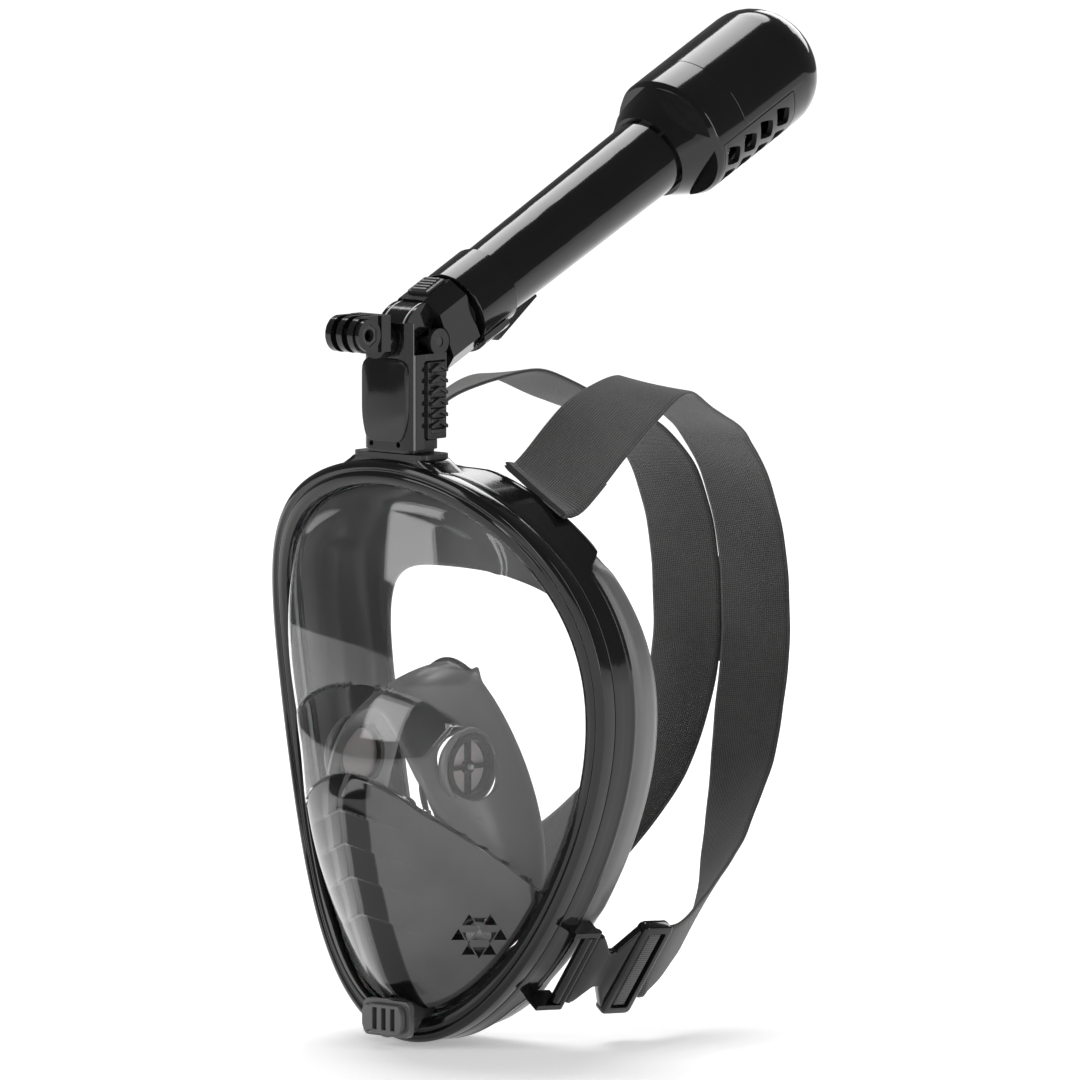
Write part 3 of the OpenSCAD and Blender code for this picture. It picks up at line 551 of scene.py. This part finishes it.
def band_loop(phi):
    """Band behind the bezel: a raised bead near its rear edge, deeper at the ears and lugs."""
    end = BAND_DEPTH + 12 * ear(phi) + 3 * lug(phi)
    outer = [(0, end - 0.2), (-0.35, end - 1.6), (0, end - 3.2), (0.12, 14), (0, 8.3)]
    inner = [(2.4, 8.3), (2.4, 7.8), (11, 7.8), (11, 9.8), (2.8, 9.8), (2.8, end), (0.7, end)]
    return rounded(inner + outer, 0.45)


def build_band():
    band = rim_loft("rim_band", band_loop, 60)
    cut(band, [block("socket_room", (0, -69.9, 117), (30.2, 13.2, 14))], 60)
    return place(band, "mask", "gloss_black", "rear_frame")


def lip(phi):
    s = math.sin(phi)
    return 27 + 20 * max(0, s) ** 3 + 5 * max(0, -s) ** 2


def skirt_loop(phi):
    edge = lip(phi)
    bulge = 1.7 * (1 - min(1, ear(phi) + lug(phi)))
    inner = min(edge - 3, 22)
    outside = [(edge - 1, 40), (edge, 42), (inner, 47), (15, 47.5), (9, 44), (4.7 - bulge, 36),
               (3.7 - bulge, 28), (3.7, 23), (3.7, 10.3)]
    inside = [(6, 10.3), (6, 23), (6 - bulge, 28), (6.9 - bulge, 35), (10.4, 41.6), (14, 44.9),
              (inner - 1, 44.4)]
    return rounded(inside + outside, 2.5, 5)


def build_skirt():
    skirt = rim_loft("face_skirt_soft", skirt_loop, 70)
    cut(skirt, [block("socket_room", (0, -69.9, 117), (30.6, 13.6, 14))], 70)
    return place(skirt, "mask", "skirt_silicone", "face_skirt")


# ---- Small solids used as cutters and fittings ----
def block(name, centre, size, turn=None):
    x, y, z = (s / 2 for s in size)
    verts = [Vector((a * x, b * y, c * z)) for a in (-1, 1) for b in (-1, 1) for c in (-1, 1)]
    if turn is not None:
        verts = [turn @ v for v in verts]
    verts = [v + Vector(centre) for v in verts]
    faces = [(0, 1, 3, 2), (4, 6, 7, 5), (0, 4, 5, 1), (2, 3, 7, 6), (0, 2, 6, 4), (1, 5, 7, 3)]
    return new_piece(name, verts, faces)


def rod(name, base, axis, radius, length, sides=48, radius_end=None, spin=0.0):
    """Cylinder, cone or prism from base along axis."""
    axis = Vector(axis).normalized()
    u = axis.orthogonal().normalized()
    v = axis.cross(u)
    loops = []
    for r, d in ((radius, 0), (radius if radius_end is None else radius_end, length)):
        ring = [math.radians(spin) + 2 * math.pi * k / sides for k in range(sides)]
        loops.append([Vector(base) + axis * d + (u * math.cos(a) + v * math.sin(a)) * r for a in ring])
    return loft(name, loops, closed=False)


def vent_frame(side):
    """Middle and outward axis of one exhaust vent of the lower cover."""
    y = float(face_y(VENT_X, VENT_Z)) + COVER_T
    turn = math.radians(VENT_TURN) * side
    return Vector((side * VENT_X, y, VENT_Z)), Vector((math.sin(turn), -math.cos(turn), 0))


# ---- Lens ----
def lens_surface(phi, t, back):
    x, z = rim_xz(phi, BEZEL_W)
    x, z = x * t, z * t
    y = face_y(x, z, t, 0.2)
    under_cover = smooth(0, 5, seam_z(x) - z) * smooth(0, 0.03, 1 - t)
    return x, y + COVER_RECESS * under_cover + back, z


def build_lens():
    """Clear shell in one piece with its flange; it steps back under the lower cover."""
    rings = np.concatenate([1 - np.linspace(0, 1, 40) ** 1.4 * 0.3, np.linspace(0.7, 0.0, 75)[1:]])
    phis = np.linspace(0, 2 * math.pi, RIM_STEPS, endpoint=False)
    loops = []
    for phi in phis:
        front = [lens_surface(phi, t, 0) for t in rings]
        back = [lens_surface(phi, t, 2.2) for t in rings[::-1]]
        flange = [rim_point(phi, 4, 3.8), rim_point(phi, 4, 6.0)]
        loops.append([flange[0]] + front + back + [flange[1]])
    lens = loft("lens_window", loops, True, 24)
    cutters = [rod("purge_room", (0, -60, -108), (0, -1, 0), 8.4, 50)]
    for side in (-1, 1):
        middle, axis = vent_frame(side)
        cutters.append(rod("vent_room", middle - axis * 15, axis, EXHAUST_R, 30))
    cut(lens, cutters, 24)
    return place(lens, "mask", "clear", "lens")


# ---- Nose and mouth cup ----
def cup_point(th, s, inset):
    """Point of the cup at angle th, where s runs from 0 at the lens to 1 at the face."""
    c, n = math.cos(th), math.sin(th)
    narrow = 1 - 0.3 * n
    rear_half = (66 if n > 0 else 58) - inset
    rear = np.array([(45 - inset) * c * narrow, -45 + 6 * c * c, -30 + rear_half * n])
    xf, zf = (32.5 - inset) * c * narrow, -28 + (50 - inset) * n
    front = np.array([xf, float(face_y(xf, zf)) + COVER_RECESS + 4.6, zf])
    return rear * s + front * (1 - s) + np.array([3 * c, 0, 3 * n]) * 4 * s * (1 - s)


def build_nose_cup():
    """Soft cup lofted from the face to the lens, holed for the inhale valves and the exhaust vents."""
    stations = np.linspace(0, 1, 17)
    loops = []
    for th in np.linspace(0, 2 * math.pi, 160, endpoint=False):
        outer = [cup_point(th, s, 0) for s in stations]
        inner = [cup_point(th, s, 2) for s in stations[::-1]]
        rim_out = cup_point(th, 1, -1.6) + np.array([0, 1.0, 0])
        rim_in = cup_point(th, 1, 1.4) + np.array([0, 1.4, 0])
        loops.append(outer + [rim_out, rim_in] + inner)
    cup = loft("nose_cup_soft", loops, True, 60)
    x, y, z = VALVE
    cutters = [rod("valve_room", (-45, y, z), (1, 0, 0), VALVE_R + 0.1, 90, 64)]
    for side in (-1, 1):
        middle, axis = vent_frame(side)
        cutters.append(rod("vent_room", middle - axis * 9, axis, EXHAUST_R + 0.4, 8))
    cut(cup, cutters, 60)
    return place(cup, "mask", "cup_silicone", "nose_cup")


def build_valve_rings():
    """Rolled silicone rims that grip the inhale valves from outside the cup."""
    x, y, z = VALVE
    for side in (-1, 1):
        loops = []
        for a in np.linspace(0, 2 * math.pi, 64, endpoint=False):
            loop = []
            for b in np.linspace(0, 2 * math.pi, 12, endpoint=False):
                r = VALVE_R + 1.5 + 1.4 * math.cos(b)
                loop.append((side * (x + 1.2 + 2.0 * math.sin(b)), y + r * math.cos(a), z + r * math.sin(a)))
            loops.append(loop)
        ring = loft("valve_grip_" + ("left" if side > 0 else "right"), loops)
        place(ring, "mask", "cup_silicone")


# ---- Lower cover: centre keel, four chevron ribs, triangle vents ----
CHEVRONS = (-19, -33, -47, -63)
KEEL_W = 17.0
COVER_ROWS, COVER_COLS = 220, 150


def keel_out(x, z):
    """How far the cover stands out of the plain face: the keel, its shoulders and the chevrons."""
    below_seam = smooth(0, 10, seam_z(x) - z) * smooth(-108, -94, z)
    ridge = np.sqrt(x * x + 1.5)
    keel = 4.6 * np.maximum(0, 1 - ridge / KEEL_W) ** 1.4 * below_seam
    ribs = 0.0
    for low in CHEVRONS:
        along = z - low + 0.34 * ridge
        reach = np.exp(-((x / 22) ** 4)) * smooth(0, 5, np.abs(x) + 3)
        step = np.where(along > 0, np.exp(-along / 4.5), np.exp(-((along / 0.6) ** 2)))
        ribs = ribs + 1.5 * step * reach
    return (keel + ribs * below_seam) * smooth(0, 4, seam_z(x) - z + 1)


def cover_point(phi, v, back):
    x, z0 = rim_xz(phi, BEZEL_W)
    x, z0 = 0.965 * x, 0.965 * z0
    z = z0 + (seam_z(x) - z0) * v
    round_edge = 0.9 * (1 - smooth(0, 0.02, min(v, 1 - v)))
    out = float(keel_out(x, z)) if back == 0 else 0.0
    return x, float(face_y(x, z)) - 0.5 - out + back + (round_edge if back == 0 else 0), z


def triangle_vents(side):
    """Three rows of triangles that point up and down by turns, one prism to each opening."""
    middle, axis = vent_frame(side)
    across = Vector((0, 0, 1)).cross(axis).normalized()
    prisms = []
    for row in (-1, 0, 1):
        for k in range(-2, 3):
            if abs(row) + abs(k) > 2:
                continue
            at = middle + across * (k * 4.3) + Vector((0, 0, row * 6.4)) - axis * 12
            spin = 0 if (row + k) % 2 == 0 else 180
            u, v = across, Vector((0, 0, 1))
            loops = []
            for d in (0, 30):
                ring = [math.radians(90 + spin + 120 * n) for n in range(3)]
                loops.append([at + axis * d + (u * math.cos(a) + v * math.sin(a)) * 3.3 for a in ring])
            prisms.append(loft("vent_prism", loops, False))
    return prisms


def build_lower_cover():
    phis = np.radians(np.linspace(213, 327, COVER_COLS))
    rows = np.linspace(0, 1, COVER_ROWS)
    front = [[cover_point(phi, v, 0) for phi in phis] for v in rows]
    back = [[cover_point(phi, v, COVER_T) for phi in phis] for v in rows]
    cover = shell_from_grids("lower_cover_ribbed", front, back, 50)
    cutters = [rod("purge_room", (0, -60, -108), (0, -1, 0), 9, 50)]
    for side in (-1, 1):
        cutters += triangle_vents(side)
    cut(cover, cutters, 50)
    place(cover, "mask", "grey_gloss", "lower_cover")
    cover.data.materials[0] = MATERIALS["cover_gloss"]
    return cover


# ---- Head harness ----
# Points down the strap from the ear to the buckle: x, y, z, and how far the band leans, in degrees
STRAP_PATH = (
    (51.3, -47.5, 110.8, -31), (51, -37.6, 112.2, -30), (48.5, -8, 132, -28), (44.5, 15, 142.5, -16),
    (39.5, 37, 146.5, -6), (32, 62, 136.5, -3), (25, 84, 127, 0), (21.8, 95.5, 119, 0),
    (19.8, 108.5, 105, 0), (19.3, 117.5, 84.5, 0), (19.3, 122, 64, 0), (19.3, 123.5, 44, 0),
    (19.3, 123, 28, 0), (20.5, 118, 5, 4), (25, 108.5, -19.5, 18), (33.5, 91, -42, 36),
    (41.5, 76, -57.5, 47), (50, 56, -70, 54), (57, 37, -79.5, 56), (61.5, 23, -85, 56),
    (62.6, 14, -87.6, 56), (60.2, 8.5, -87.6, 56), (58.6, 2, -87.3, 56))


def strap_frames(side):
    """Evenly spaced (point, across, outwards, length so far) down the middle of one strap."""
    curve = smooth_curve(STRAP_PATH, 24)
    points = curve[:, :3] * np.array([side, 1, 1])
    steps = np.linalg.norm(np.diff(points, axis=0), axis=1)
    length = np.concatenate([[0], np.cumsum(steps)])
    even = np.linspace(0, length[-1], 300)
    points = np.stack([np.interp(even, length, points[:, k]) for k in range(3)], 1)
    turns = np.radians(np.interp(even, length, curve[:, 3]))
    along = np.gradient(points, axis=0)
    along /= np.linalg.norm(along, axis=1)[:, None]
    wide = np.stack([np.cos(turns) * side, 0 * turns, np.sin(turns)], 1)
    wide -= along * (wide * along).sum(1)[:, None]
    wide /= np.linalg.norm(wide, axis=1)[:, None]
    out = np.cross(along, wide) * side
    return points, wide, out, even


def strap_band(name, side, lo, hi, lift, thick, width=STRAP_W, dome=0.0, rows=30):
    """Woven band with rounded selvedges between lengths lo and hi; lift moves it off the middle line."""
    points, wide, out, even = strap_frames(side)
    keep = np.where((even >= lo - 0.01) & (even <= hi + 0.01))[0]
    verts, uvs = [], []
    across = np.linspace(-1, 1, rows)
    loop = [(u, 1) for u in across] + [(u, -1) for u in across[::-1]]
    for i in keep:
        ripple = 0.12 * math.sin(even[i] * 0.11) + 0.08 * math.sin(even[i] * 0.29 + 1.3)
        for u, face in loop:
            half = thick / 2 * (1 - max(0, (abs(u) - 0.93) / 0.07) ** 2 * 0.75)
            sag = dome * (1 - u * u) + ripple * u * u
            p = points[i] + wide[i] * u * width / 2 + out[i] * (lift + face * half + sag)
            verts.append(p)
            uvs.append((u * width / 2 * MM, even[i] * MM))
    m = len(loop)
    faces = loop_faces(len(keep), m, False)
    mesh = bpy.data.meshes.new(name)
    mesh.from_pydata([tuple(float(c) * MM for c in v) for v in verts], [], faces)
    layer = mesh.uv_layers.new(name="UVMap")
    for corner in mesh.loops:
        layer.data[corner.index].uv = uvs[corner.vertex_index]
    obj = bpy.data.objects.new(name, mesh)
    COLLECTION.objects.link(obj)
    bm = bmesh.new()
    bm.from_mesh(mesh)
    bmesh.ops.recalc_face_normals(bm, faces=bm.faces)
    bm.to_mesh(mesh)
    bm.free()
    mesh.shade_smooth()
    mesh.set_sharp_from_angle(angle=math.radians(70))
    return obj


def stitch_row(name, side, at, across, lift, pitch=2.6):
    """Row of short thread stitches over the strap; at and across are its (start, end)."""
    points, wide, out, even = strap_frames(side)
    place_at = lambda s, u: (np.array([np.interp(s, even, points[:, k]) for k in range(3)]),
                             np.array([np.interp(s, even, wide[:, k]) for k in range(3)]),
                             np.array([np.interp(s, even, out[:, k]) for k in range(3)]), u)
    def spot(t, rise):
        p, w, o, u = place_at(at[0] + (at[1] - at[0]) * t, across[0] + (across[1] - across[0]) * t)
        return p + w * u + o * (lift + rise)
    total = math.hypot(at[1] - at[0], across[1] - across[0])
    count = max(1, int(total / pitch))
    verts, faces = [], []
    for k in range(count):
        line = [spot((k + f) / count, r) for f, r in ((0.08, -0.1), (0.25, 0.22), (0.6, 0.22), (0.78, -0.1))]
        base = len(verts)
        for i, p in enumerate(line):
            d = np.array(line[min(i + 1, 3)]) - np.array(line[max(i - 1, 0)])
            d /= np.linalg.norm(d)
            u = np.cross(d, [0.3, 0.5, 0.8])
            u /= np.linalg.norm(u)
            v = np.cross(d, u)
            for a in np.linspace(0, 2 * math.pi, 6, endpoint=False):
                verts.append(p + (u * math.cos(a) + v * math.sin(a)) * 0.22)
        for face in loop_faces(4, 6, False):
            faces.append(tuple(base + k2 for k2 in face))
    return verts, faces


def stitches(name, side, rows, body="mask"):
    verts, faces = [], []
    for row in rows:
        v, f = stitch_row(name, side, *row)
        faces += [tuple(len(verts) + k for k in face) for face in f]
        verts += v
    thread = new_piece(name, verts, faces, 60)
    place(thread, body, "elastic")
    thread.data.materials[0] = MATERIALS["thread"]
    return thread


# ---- Buckles ----
BUCKLE_AT = (58.5, -29.6, -87.5)
BUCKLE_TURN, BUCKLE_TIP = -56.0, -6.0


def at_buckle(side, p):
    """Place of a point given along the buckle's bar, towards the strap, and in to the face."""
    tip = Matrix.Rotation(math.radians(BUCKLE_TIP), 3, "X")
    turn = Matrix.Rotation(math.radians(BUCKLE_TURN), 3, "Y") @ tip
    q = Vector(BUCKLE_AT) + turn @ Vector(p)
    return Vector((q.x * side, q.y, q.z))


def plate(name, outline, low, high, put, radius=2.0, edge=0.6):
    """Flat plate with rounded corners and softened edges, put in place by put((x, y, z))."""
    corners = rounded(outline, radius, 6)
    loops = [[put((x, y, z)) for x, y in corners] for z in (low, high)]
    obj = loft(name, loops, closed=False)
    bevel = obj.modifiers.new("edge", "BEVEL")
    bevel.width, bevel.segments, bevel.limit_method = edge * MM, 3, "ANGLE"
    bevel.angle_limit = math.radians(50)
    apply_modifiers(obj)
    obj.data.shade_smooth()
    obj.data.set_sharp_from_angle(angle=math.radians(40))
    return obj


def join(name, objs, sharp=40.0):
    """One piece made of several meshes that touch."""
    bm = bmesh.new()
    for obj in objs:
        bm.from_mesh(obj.data)
    mesh = bpy.data.meshes.new(name)
    bm.to_mesh(mesh)
    bm.free()
    for obj in objs:
        bpy.data.objects.remove(obj)
    joined = bpy.data.objects.new(name, mesh)
    COLLECTION.objects.link(joined)
    mesh.shade_smooth()
    mesh.set_sharp_from_angle(angle=math.radians(sharp))
    return joined


def build_buckle(side):
    """Waisted plate with three grip ridges, a frame that the strap wraps, and the wrap itself."""
    name = "buckle_left" if side > 0 else "buckle_right"
    put = lambda p: at_buckle(side, p)
    bow_tie = [(-17, 1), (17, 1), (17, 5), (9, 12), (9, 15), (21, 23.5), (21, 27),
               (-21, 27), (-21, 23.5), (-9, 15), (-9, 12), (-17, 5)]
    web = plate(name + "_web", bow_tie, -1.8, 2.2, put, 2.5, 0.9)
    frame_plate = plate(name + "_frame", [(-23, 23), (23, 23), (23, 39), (-23, 39)], -3.2, 2.4, put, 3, 1.0)
    window = plate("window", [(-19.6, 26.4), (19.6, 26.4), (19.6, 36), (-19.6, 36)], -6, 6, put, 1.2, 0.01)
    cut(frame_plate, [window], 40)
    ridges = []
    along = at_buckle(side, (1, 0, 0)) - at_buckle(side, (0, 0, 0))
    for y, z in ((-3.2, 0.4), (3.2, 0.4), (0, 3.4)):
        ridges.append(rod("ridge", at_buckle(side, (-17, y, z)), along, 2.1, 34, 24))
    buckle = join(name + "_moulded", [web, frame_plate] + ridges)
    place(buckle, name, "gloss_black", name)
    wrap_outline = [(-18.8, 28), (18.8, 28), (18.8, 34.6), (-18.8, 34.6)]
    wrap = plate(name + "_strap_wrap", wrap_outline, -2.4, 2.0, put, 1.0, 1.6)
    uv = wrap.data.uv_layers.new(name="UVMap")
    origin = at_buckle(side, (0, 0, 0))
    ux = along
    uy = at_buckle(side, (0, 1, 0)) - origin
    for corner in wrap.data.loops:
        p = wrap.data.vertices[corner.vertex_index].co / MM - origin
        uv.data[corner.index].uv = (p.dot(ux) * MM, p.dot(uy) * MM)
    place(wrap, name, "elastic")


# ---- Dry top's lattice ----
def on_tube(p):
    """Place of a point given in the snorkel's own frame, whose z runs up the tube from the hinge."""
    return Vector(HINGE) + Matrix.Rotation(math.radians(TUBE_ELEV - 90), 3, "X") @ Vector(p)


def round_head(angle, radius, z):
    """Point on the dry top; angle is measured from the underside of the tube."""
    a = math.radians(90 + angle)
    return on_tube((radius * math.cos(a), radius * math.sin(a), z))


def lattice_window(angle, z, half_angle, half_z, slant):
    """Cutter for one rounded, leaning opening of the lattice."""
    corners = [(-half_angle, -half_z), (half_angle, -half_z), (half_angle, half_z), (-half_angle, half_z)]
    outline = rounded(corners, 2.2, 5)
    loops = [[round_head(angle + a + slant * h, r, z + h) for a, h in outline] for r in (21, 31)]
    return loft("lattice_window", loops, False)


def build_grille():
    angles = np.linspace(-GRILLE_HALF, GRILLE_HALF, 84)
    heights = np.linspace(GRILLE_LOW, GRILLE_HIGH, 40)
    front = [[round_head(a, HEAD_R, z) for a in angles] for z in heights]
    back = [[round_head(a, HEAD_R - GRILLE_WALL, z) for a in angles] for z in heights]
    grille = shell_from_grids("dry_top_lattice", front, back, 50)
    cutters = []
    for row in range(WINDOW_ROWS):
        for col in range(WINDOW_COLS):
            angle = col * WINDOW_STEP - 65.5
            cutters.append(lattice_window(angle, GRILLE_LOW + 6 + WINDOW_RISE * row, 9.8, 4.2, 0.9))
    cut(grille, cutters, 50)
    place(grille, "snorkel", "satin_black", "dry_top_grille")


# ---- Column details ----
def build_column_details():
    """Front shield and socket mound of the column, and the chevron ribs on its release buttons."""
    put = lambda p: Vector((p[0], p[2], p[1]))
    shield = [(-12.6, 139), (-10, 129), (10, 129), (12.6, 139), (12.6, 163.5), (-12.6, 163.5)]
    front = plate("column_front_shield", shield, -83.1, -81.0, put, 6, 0.6)
    place(front, "column", "gloss_black")
    steps = ((116.5, 31, 8.6), (119, 26.5, 9.0), (121, 23, 9.3), (122.4, 21, 9.5))
    corner = lambda w, d: rounded([(-w, -d), (w, -d), (w, d), (-w, d)], 6, 8)
    loops = [[(x, -72.5 + y, z) for x, y in corner(w, d)] for z, w, d in steps]
    place(loft("socket_mound", loops, False, 60), "mask", "gloss_black")
    for side in (-1, 1):
        bars = []
        for k in range(6):
            z = 134.5 + 4.6 * k
            tip = [(-71.6, z), (-66.8, z + 2.2), (-62.2, z),
                   (-62.2, z + 1.5), (-66.8, z + 3.7), (-71.6, z + 1.5)]
            across = lambda p: Vector((side * p[2], p[0], p[1]))
            bars.append(plate("rib", tip, 14.4, 16.6, across, 0.3, 0.35))
        ribs = join("release_ribs_" + ("left" if side > 0 else "right"), bars)
        place(ribs, "release_left" if side > 0 else "release_right", "satin_black")


# ---- Straps and the seam behind the head ----
def build_straps():
    """Each woven strap turns from the mask to its buckle; its hem and thread stay at the ear."""
    for side, body in ((1, "buckle_left"), (-1, "buckle_right")):
        name = "strap_left" if side > 0 else "strap_right"
        points, _, _, even = strap_frames(side)
        total = even[-1]
        strap = strap_band(name + "_woven", side, 0, total, 0, STRAP_T, dome=0.35)
        dress(strap, "elastic")
        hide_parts(name)
        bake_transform(strap)
        hem = strap_band(name + "_hem", side, 0, HEM, 1.4, HEM_T, STRAP_W - 0.4, dome=0.35)
        place(hem, "mask", "elastic")
        edge = STRAP_W / 2
        rows = [((at, at), (-edge + 1.5, edge - 1.5), 2.15) for at in (HEM - 2, HEM - 4.5)]
        stitches(name + "_hem_thread", side, rows)


def build_back_seam():
    """Tape sewn over the join of the two straps at the back of the head."""
    low, high = (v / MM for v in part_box("back_seam_tape"))
    front, back = [], []
    for z in np.linspace(low.z, high.z, 60):
        s = np.interp(z, [5, 28, 44, 64, 84.5], [118, 123, 123.5, 122, 117])
        y = float(s) + 1.15
        front.append([(x, y + 0.9, z) for x in np.linspace(low.x, high.x, 9)])
        back.append([(x, y, z) for x in np.linspace(low.x, high.x, 9)])
    tape = shell_from_grids("back_seam_tape_woven", front, back)
    uv = tape.data.uv_layers.new(name="UVMap")
    for corner in tape.data.loops:
        co = tape.data.vertices[corner.vertex_index].co
        uv.data[corner.index].uv = (co.x, co.z)
    place(tape, "mask", "elastic", "back_seam_tape")


def build_all():
    build_bezel()
    build_band()
    build_skirt()
    build_lens()
    build_nose_cup()
    build_valve_rings()
    build_lower_cover()
    build_straps()
    build_back_seam()
    for side in (-1, 1):
        build_buckle(side)
    build_grille()
    build_column_details()


# ---- Every CAD node, with its own finish ----
FINISH = {
    "gloss_black": ("bezel", "base_front_shell", "camera_mount", "tube_knuckle", "dry_top_collar",
                    "dry_top_cap", "tube_cradle", "tube", "tube_sleeve", "buckle_left", "buckle_right",
                    "buckle_bars"),
    "satin_black": ("rear_frame", "base_rear_shell", "base_plug", "top_socket", "release_button_left",
                    "release_button_right", "tube_divider", "lock_button", "dry_top_grille", "strap_end_tabs",
                    "inhale_valve_seats", "exhaust_valve_seats"),
    "grey_gloss": ("lower_cover", "purge_housing", "purge_cap"),
    "clear": ("lens",),
    "skirt_silicone": ("face_skirt",),
    "cup_silicone": ("nose_cup",),
    "valve_silicone": ("lens_gasket", "inhale_flap_left", "inhale_flap_right", "exhaust_flap_left",
                       "exhaust_flap_right", "purge_flap", "plug_seal", "hinge_seals", "float_seal"),
    "elastic": ("strap_left", "strap_right", "back_seam_tape"),
    "stainless": ("frame_screws", "base_screws", "hinge_pin", "camera_nut", "release_springs", "lock_spring"),
    "float_foam": ("float",),
}
SOFT_EDGE = {
    "base_front_shell": 1.2, "base_rear_shell": 1.0, "camera_mount": 0.7, "tube_knuckle": 0.6,
    "dry_top_cap": 0.5, "dry_top_collar": 0.5, "tube_cradle": 0.6, "tube_sleeve": 0.5,
    "lock_button": 0.4, "purge_housing": 0.5, "purge_cap": 0.4, "top_socket": 0.4,
    "release_button_left": 0.5, "release_button_right": 0.5, "buckle_left": 0.7, "buckle_right": 0.7,
    "tube": 0.4, "rear_frame": 0.2, "bezel": 0.3,
}


def dress_cad():
    for slot, names in FINISH.items():
        for name in names:
            dress(NODES[name], slot)
            if name in SOFT_EDGE:
                soften_edges(NODES[name], SOFT_EDGE[name] * MM)
    for name in ("camera_nut", "hinge_pin"):
        NODES[name].data.materials[0] = MATERIALS["dark_steel"]


# ---- Camera, lights and floor ----
def add_camera():
    back = Vector(CAMERA_BACK).normalized()
    data = bpy.data.cameras.new("camera")
    data.lens, data.sensor_width = CAMERA_LENS, CAMERA_SENSOR
    data.clip_start, data.clip_end = 0.05, 20
    camera = bpy.data.objects.new("camera", data)
    COLLECTION.objects.link(camera)
    camera.location = Vector(CAMERA_TARGET) + back * CAMERA_DISTANCE
    camera.rotation_euler = back.to_track_quat("Z", "Y").to_euler()
    bpy.context.scene.camera = camera


def area_light(name, at, target, size, power):
    data = bpy.data.lights.new(name, "AREA")
    data.shape = "RECTANGLE"
    data.size, data.size_y = size
    data.energy = power
    light = bpy.data.objects.new(name, data)
    COLLECTION.objects.link(light)
    light.location = at
    light.rotation_euler = (Vector(at) - Vector(target)).to_track_quat("Z", "Y").to_euler()


def add_studio():
    reach = 9000
    corners = [(x * reach, y * reach, FLOOR_Z) for x, y in ((-1, -1), (1, -1), (1, 1), (-1, 1))]
    floor = new_piece("floor", corners, [(0, 1, 2, 3)])
    floor.data.materials.append(paper_floor())
    world = bpy.data.worlds.new("studio")
    world.use_nodes = True
    world.node_tree.nodes["Background"].inputs["Color"].default_value = (1, 1, 1, 1)
    world.node_tree.nodes["Background"].inputs["Strength"].default_value = 0.16
    bpy.context.scene.world = world
    bpy.context.scene.view_settings.view_transform = "Standard"
    middle = (0, 0, 0.06)
    sun = bpy.data.lights.new("ceiling", "SUN")
    sun.energy, sun.angle = 2.3, math.radians(40)
    ceiling = bpy.data.objects.new("ceiling", sun)
    COLLECTION.objects.link(ceiling)
    ceiling.rotation_euler = Vector((-0.45, 0.35, 1)).to_track_quat("Z", "Y").to_euler()
    area_light("key", (-0.7, -1.9, 0.9), middle, (1.0, 1.2), 14)
    area_light("side", (1.9, 0.5, 0.5), middle, (0.5, 1.8), 12)
    area_light("rim", (-0.6, 1.8, 1.0), middle, (1.2, 0.8), 12)
    area_light("front_strip", (1.0, -1.9, 0.5), middle, (0.2, 1.6), 6)


dress_cad()
build_all()
add_camera()
add_studio()
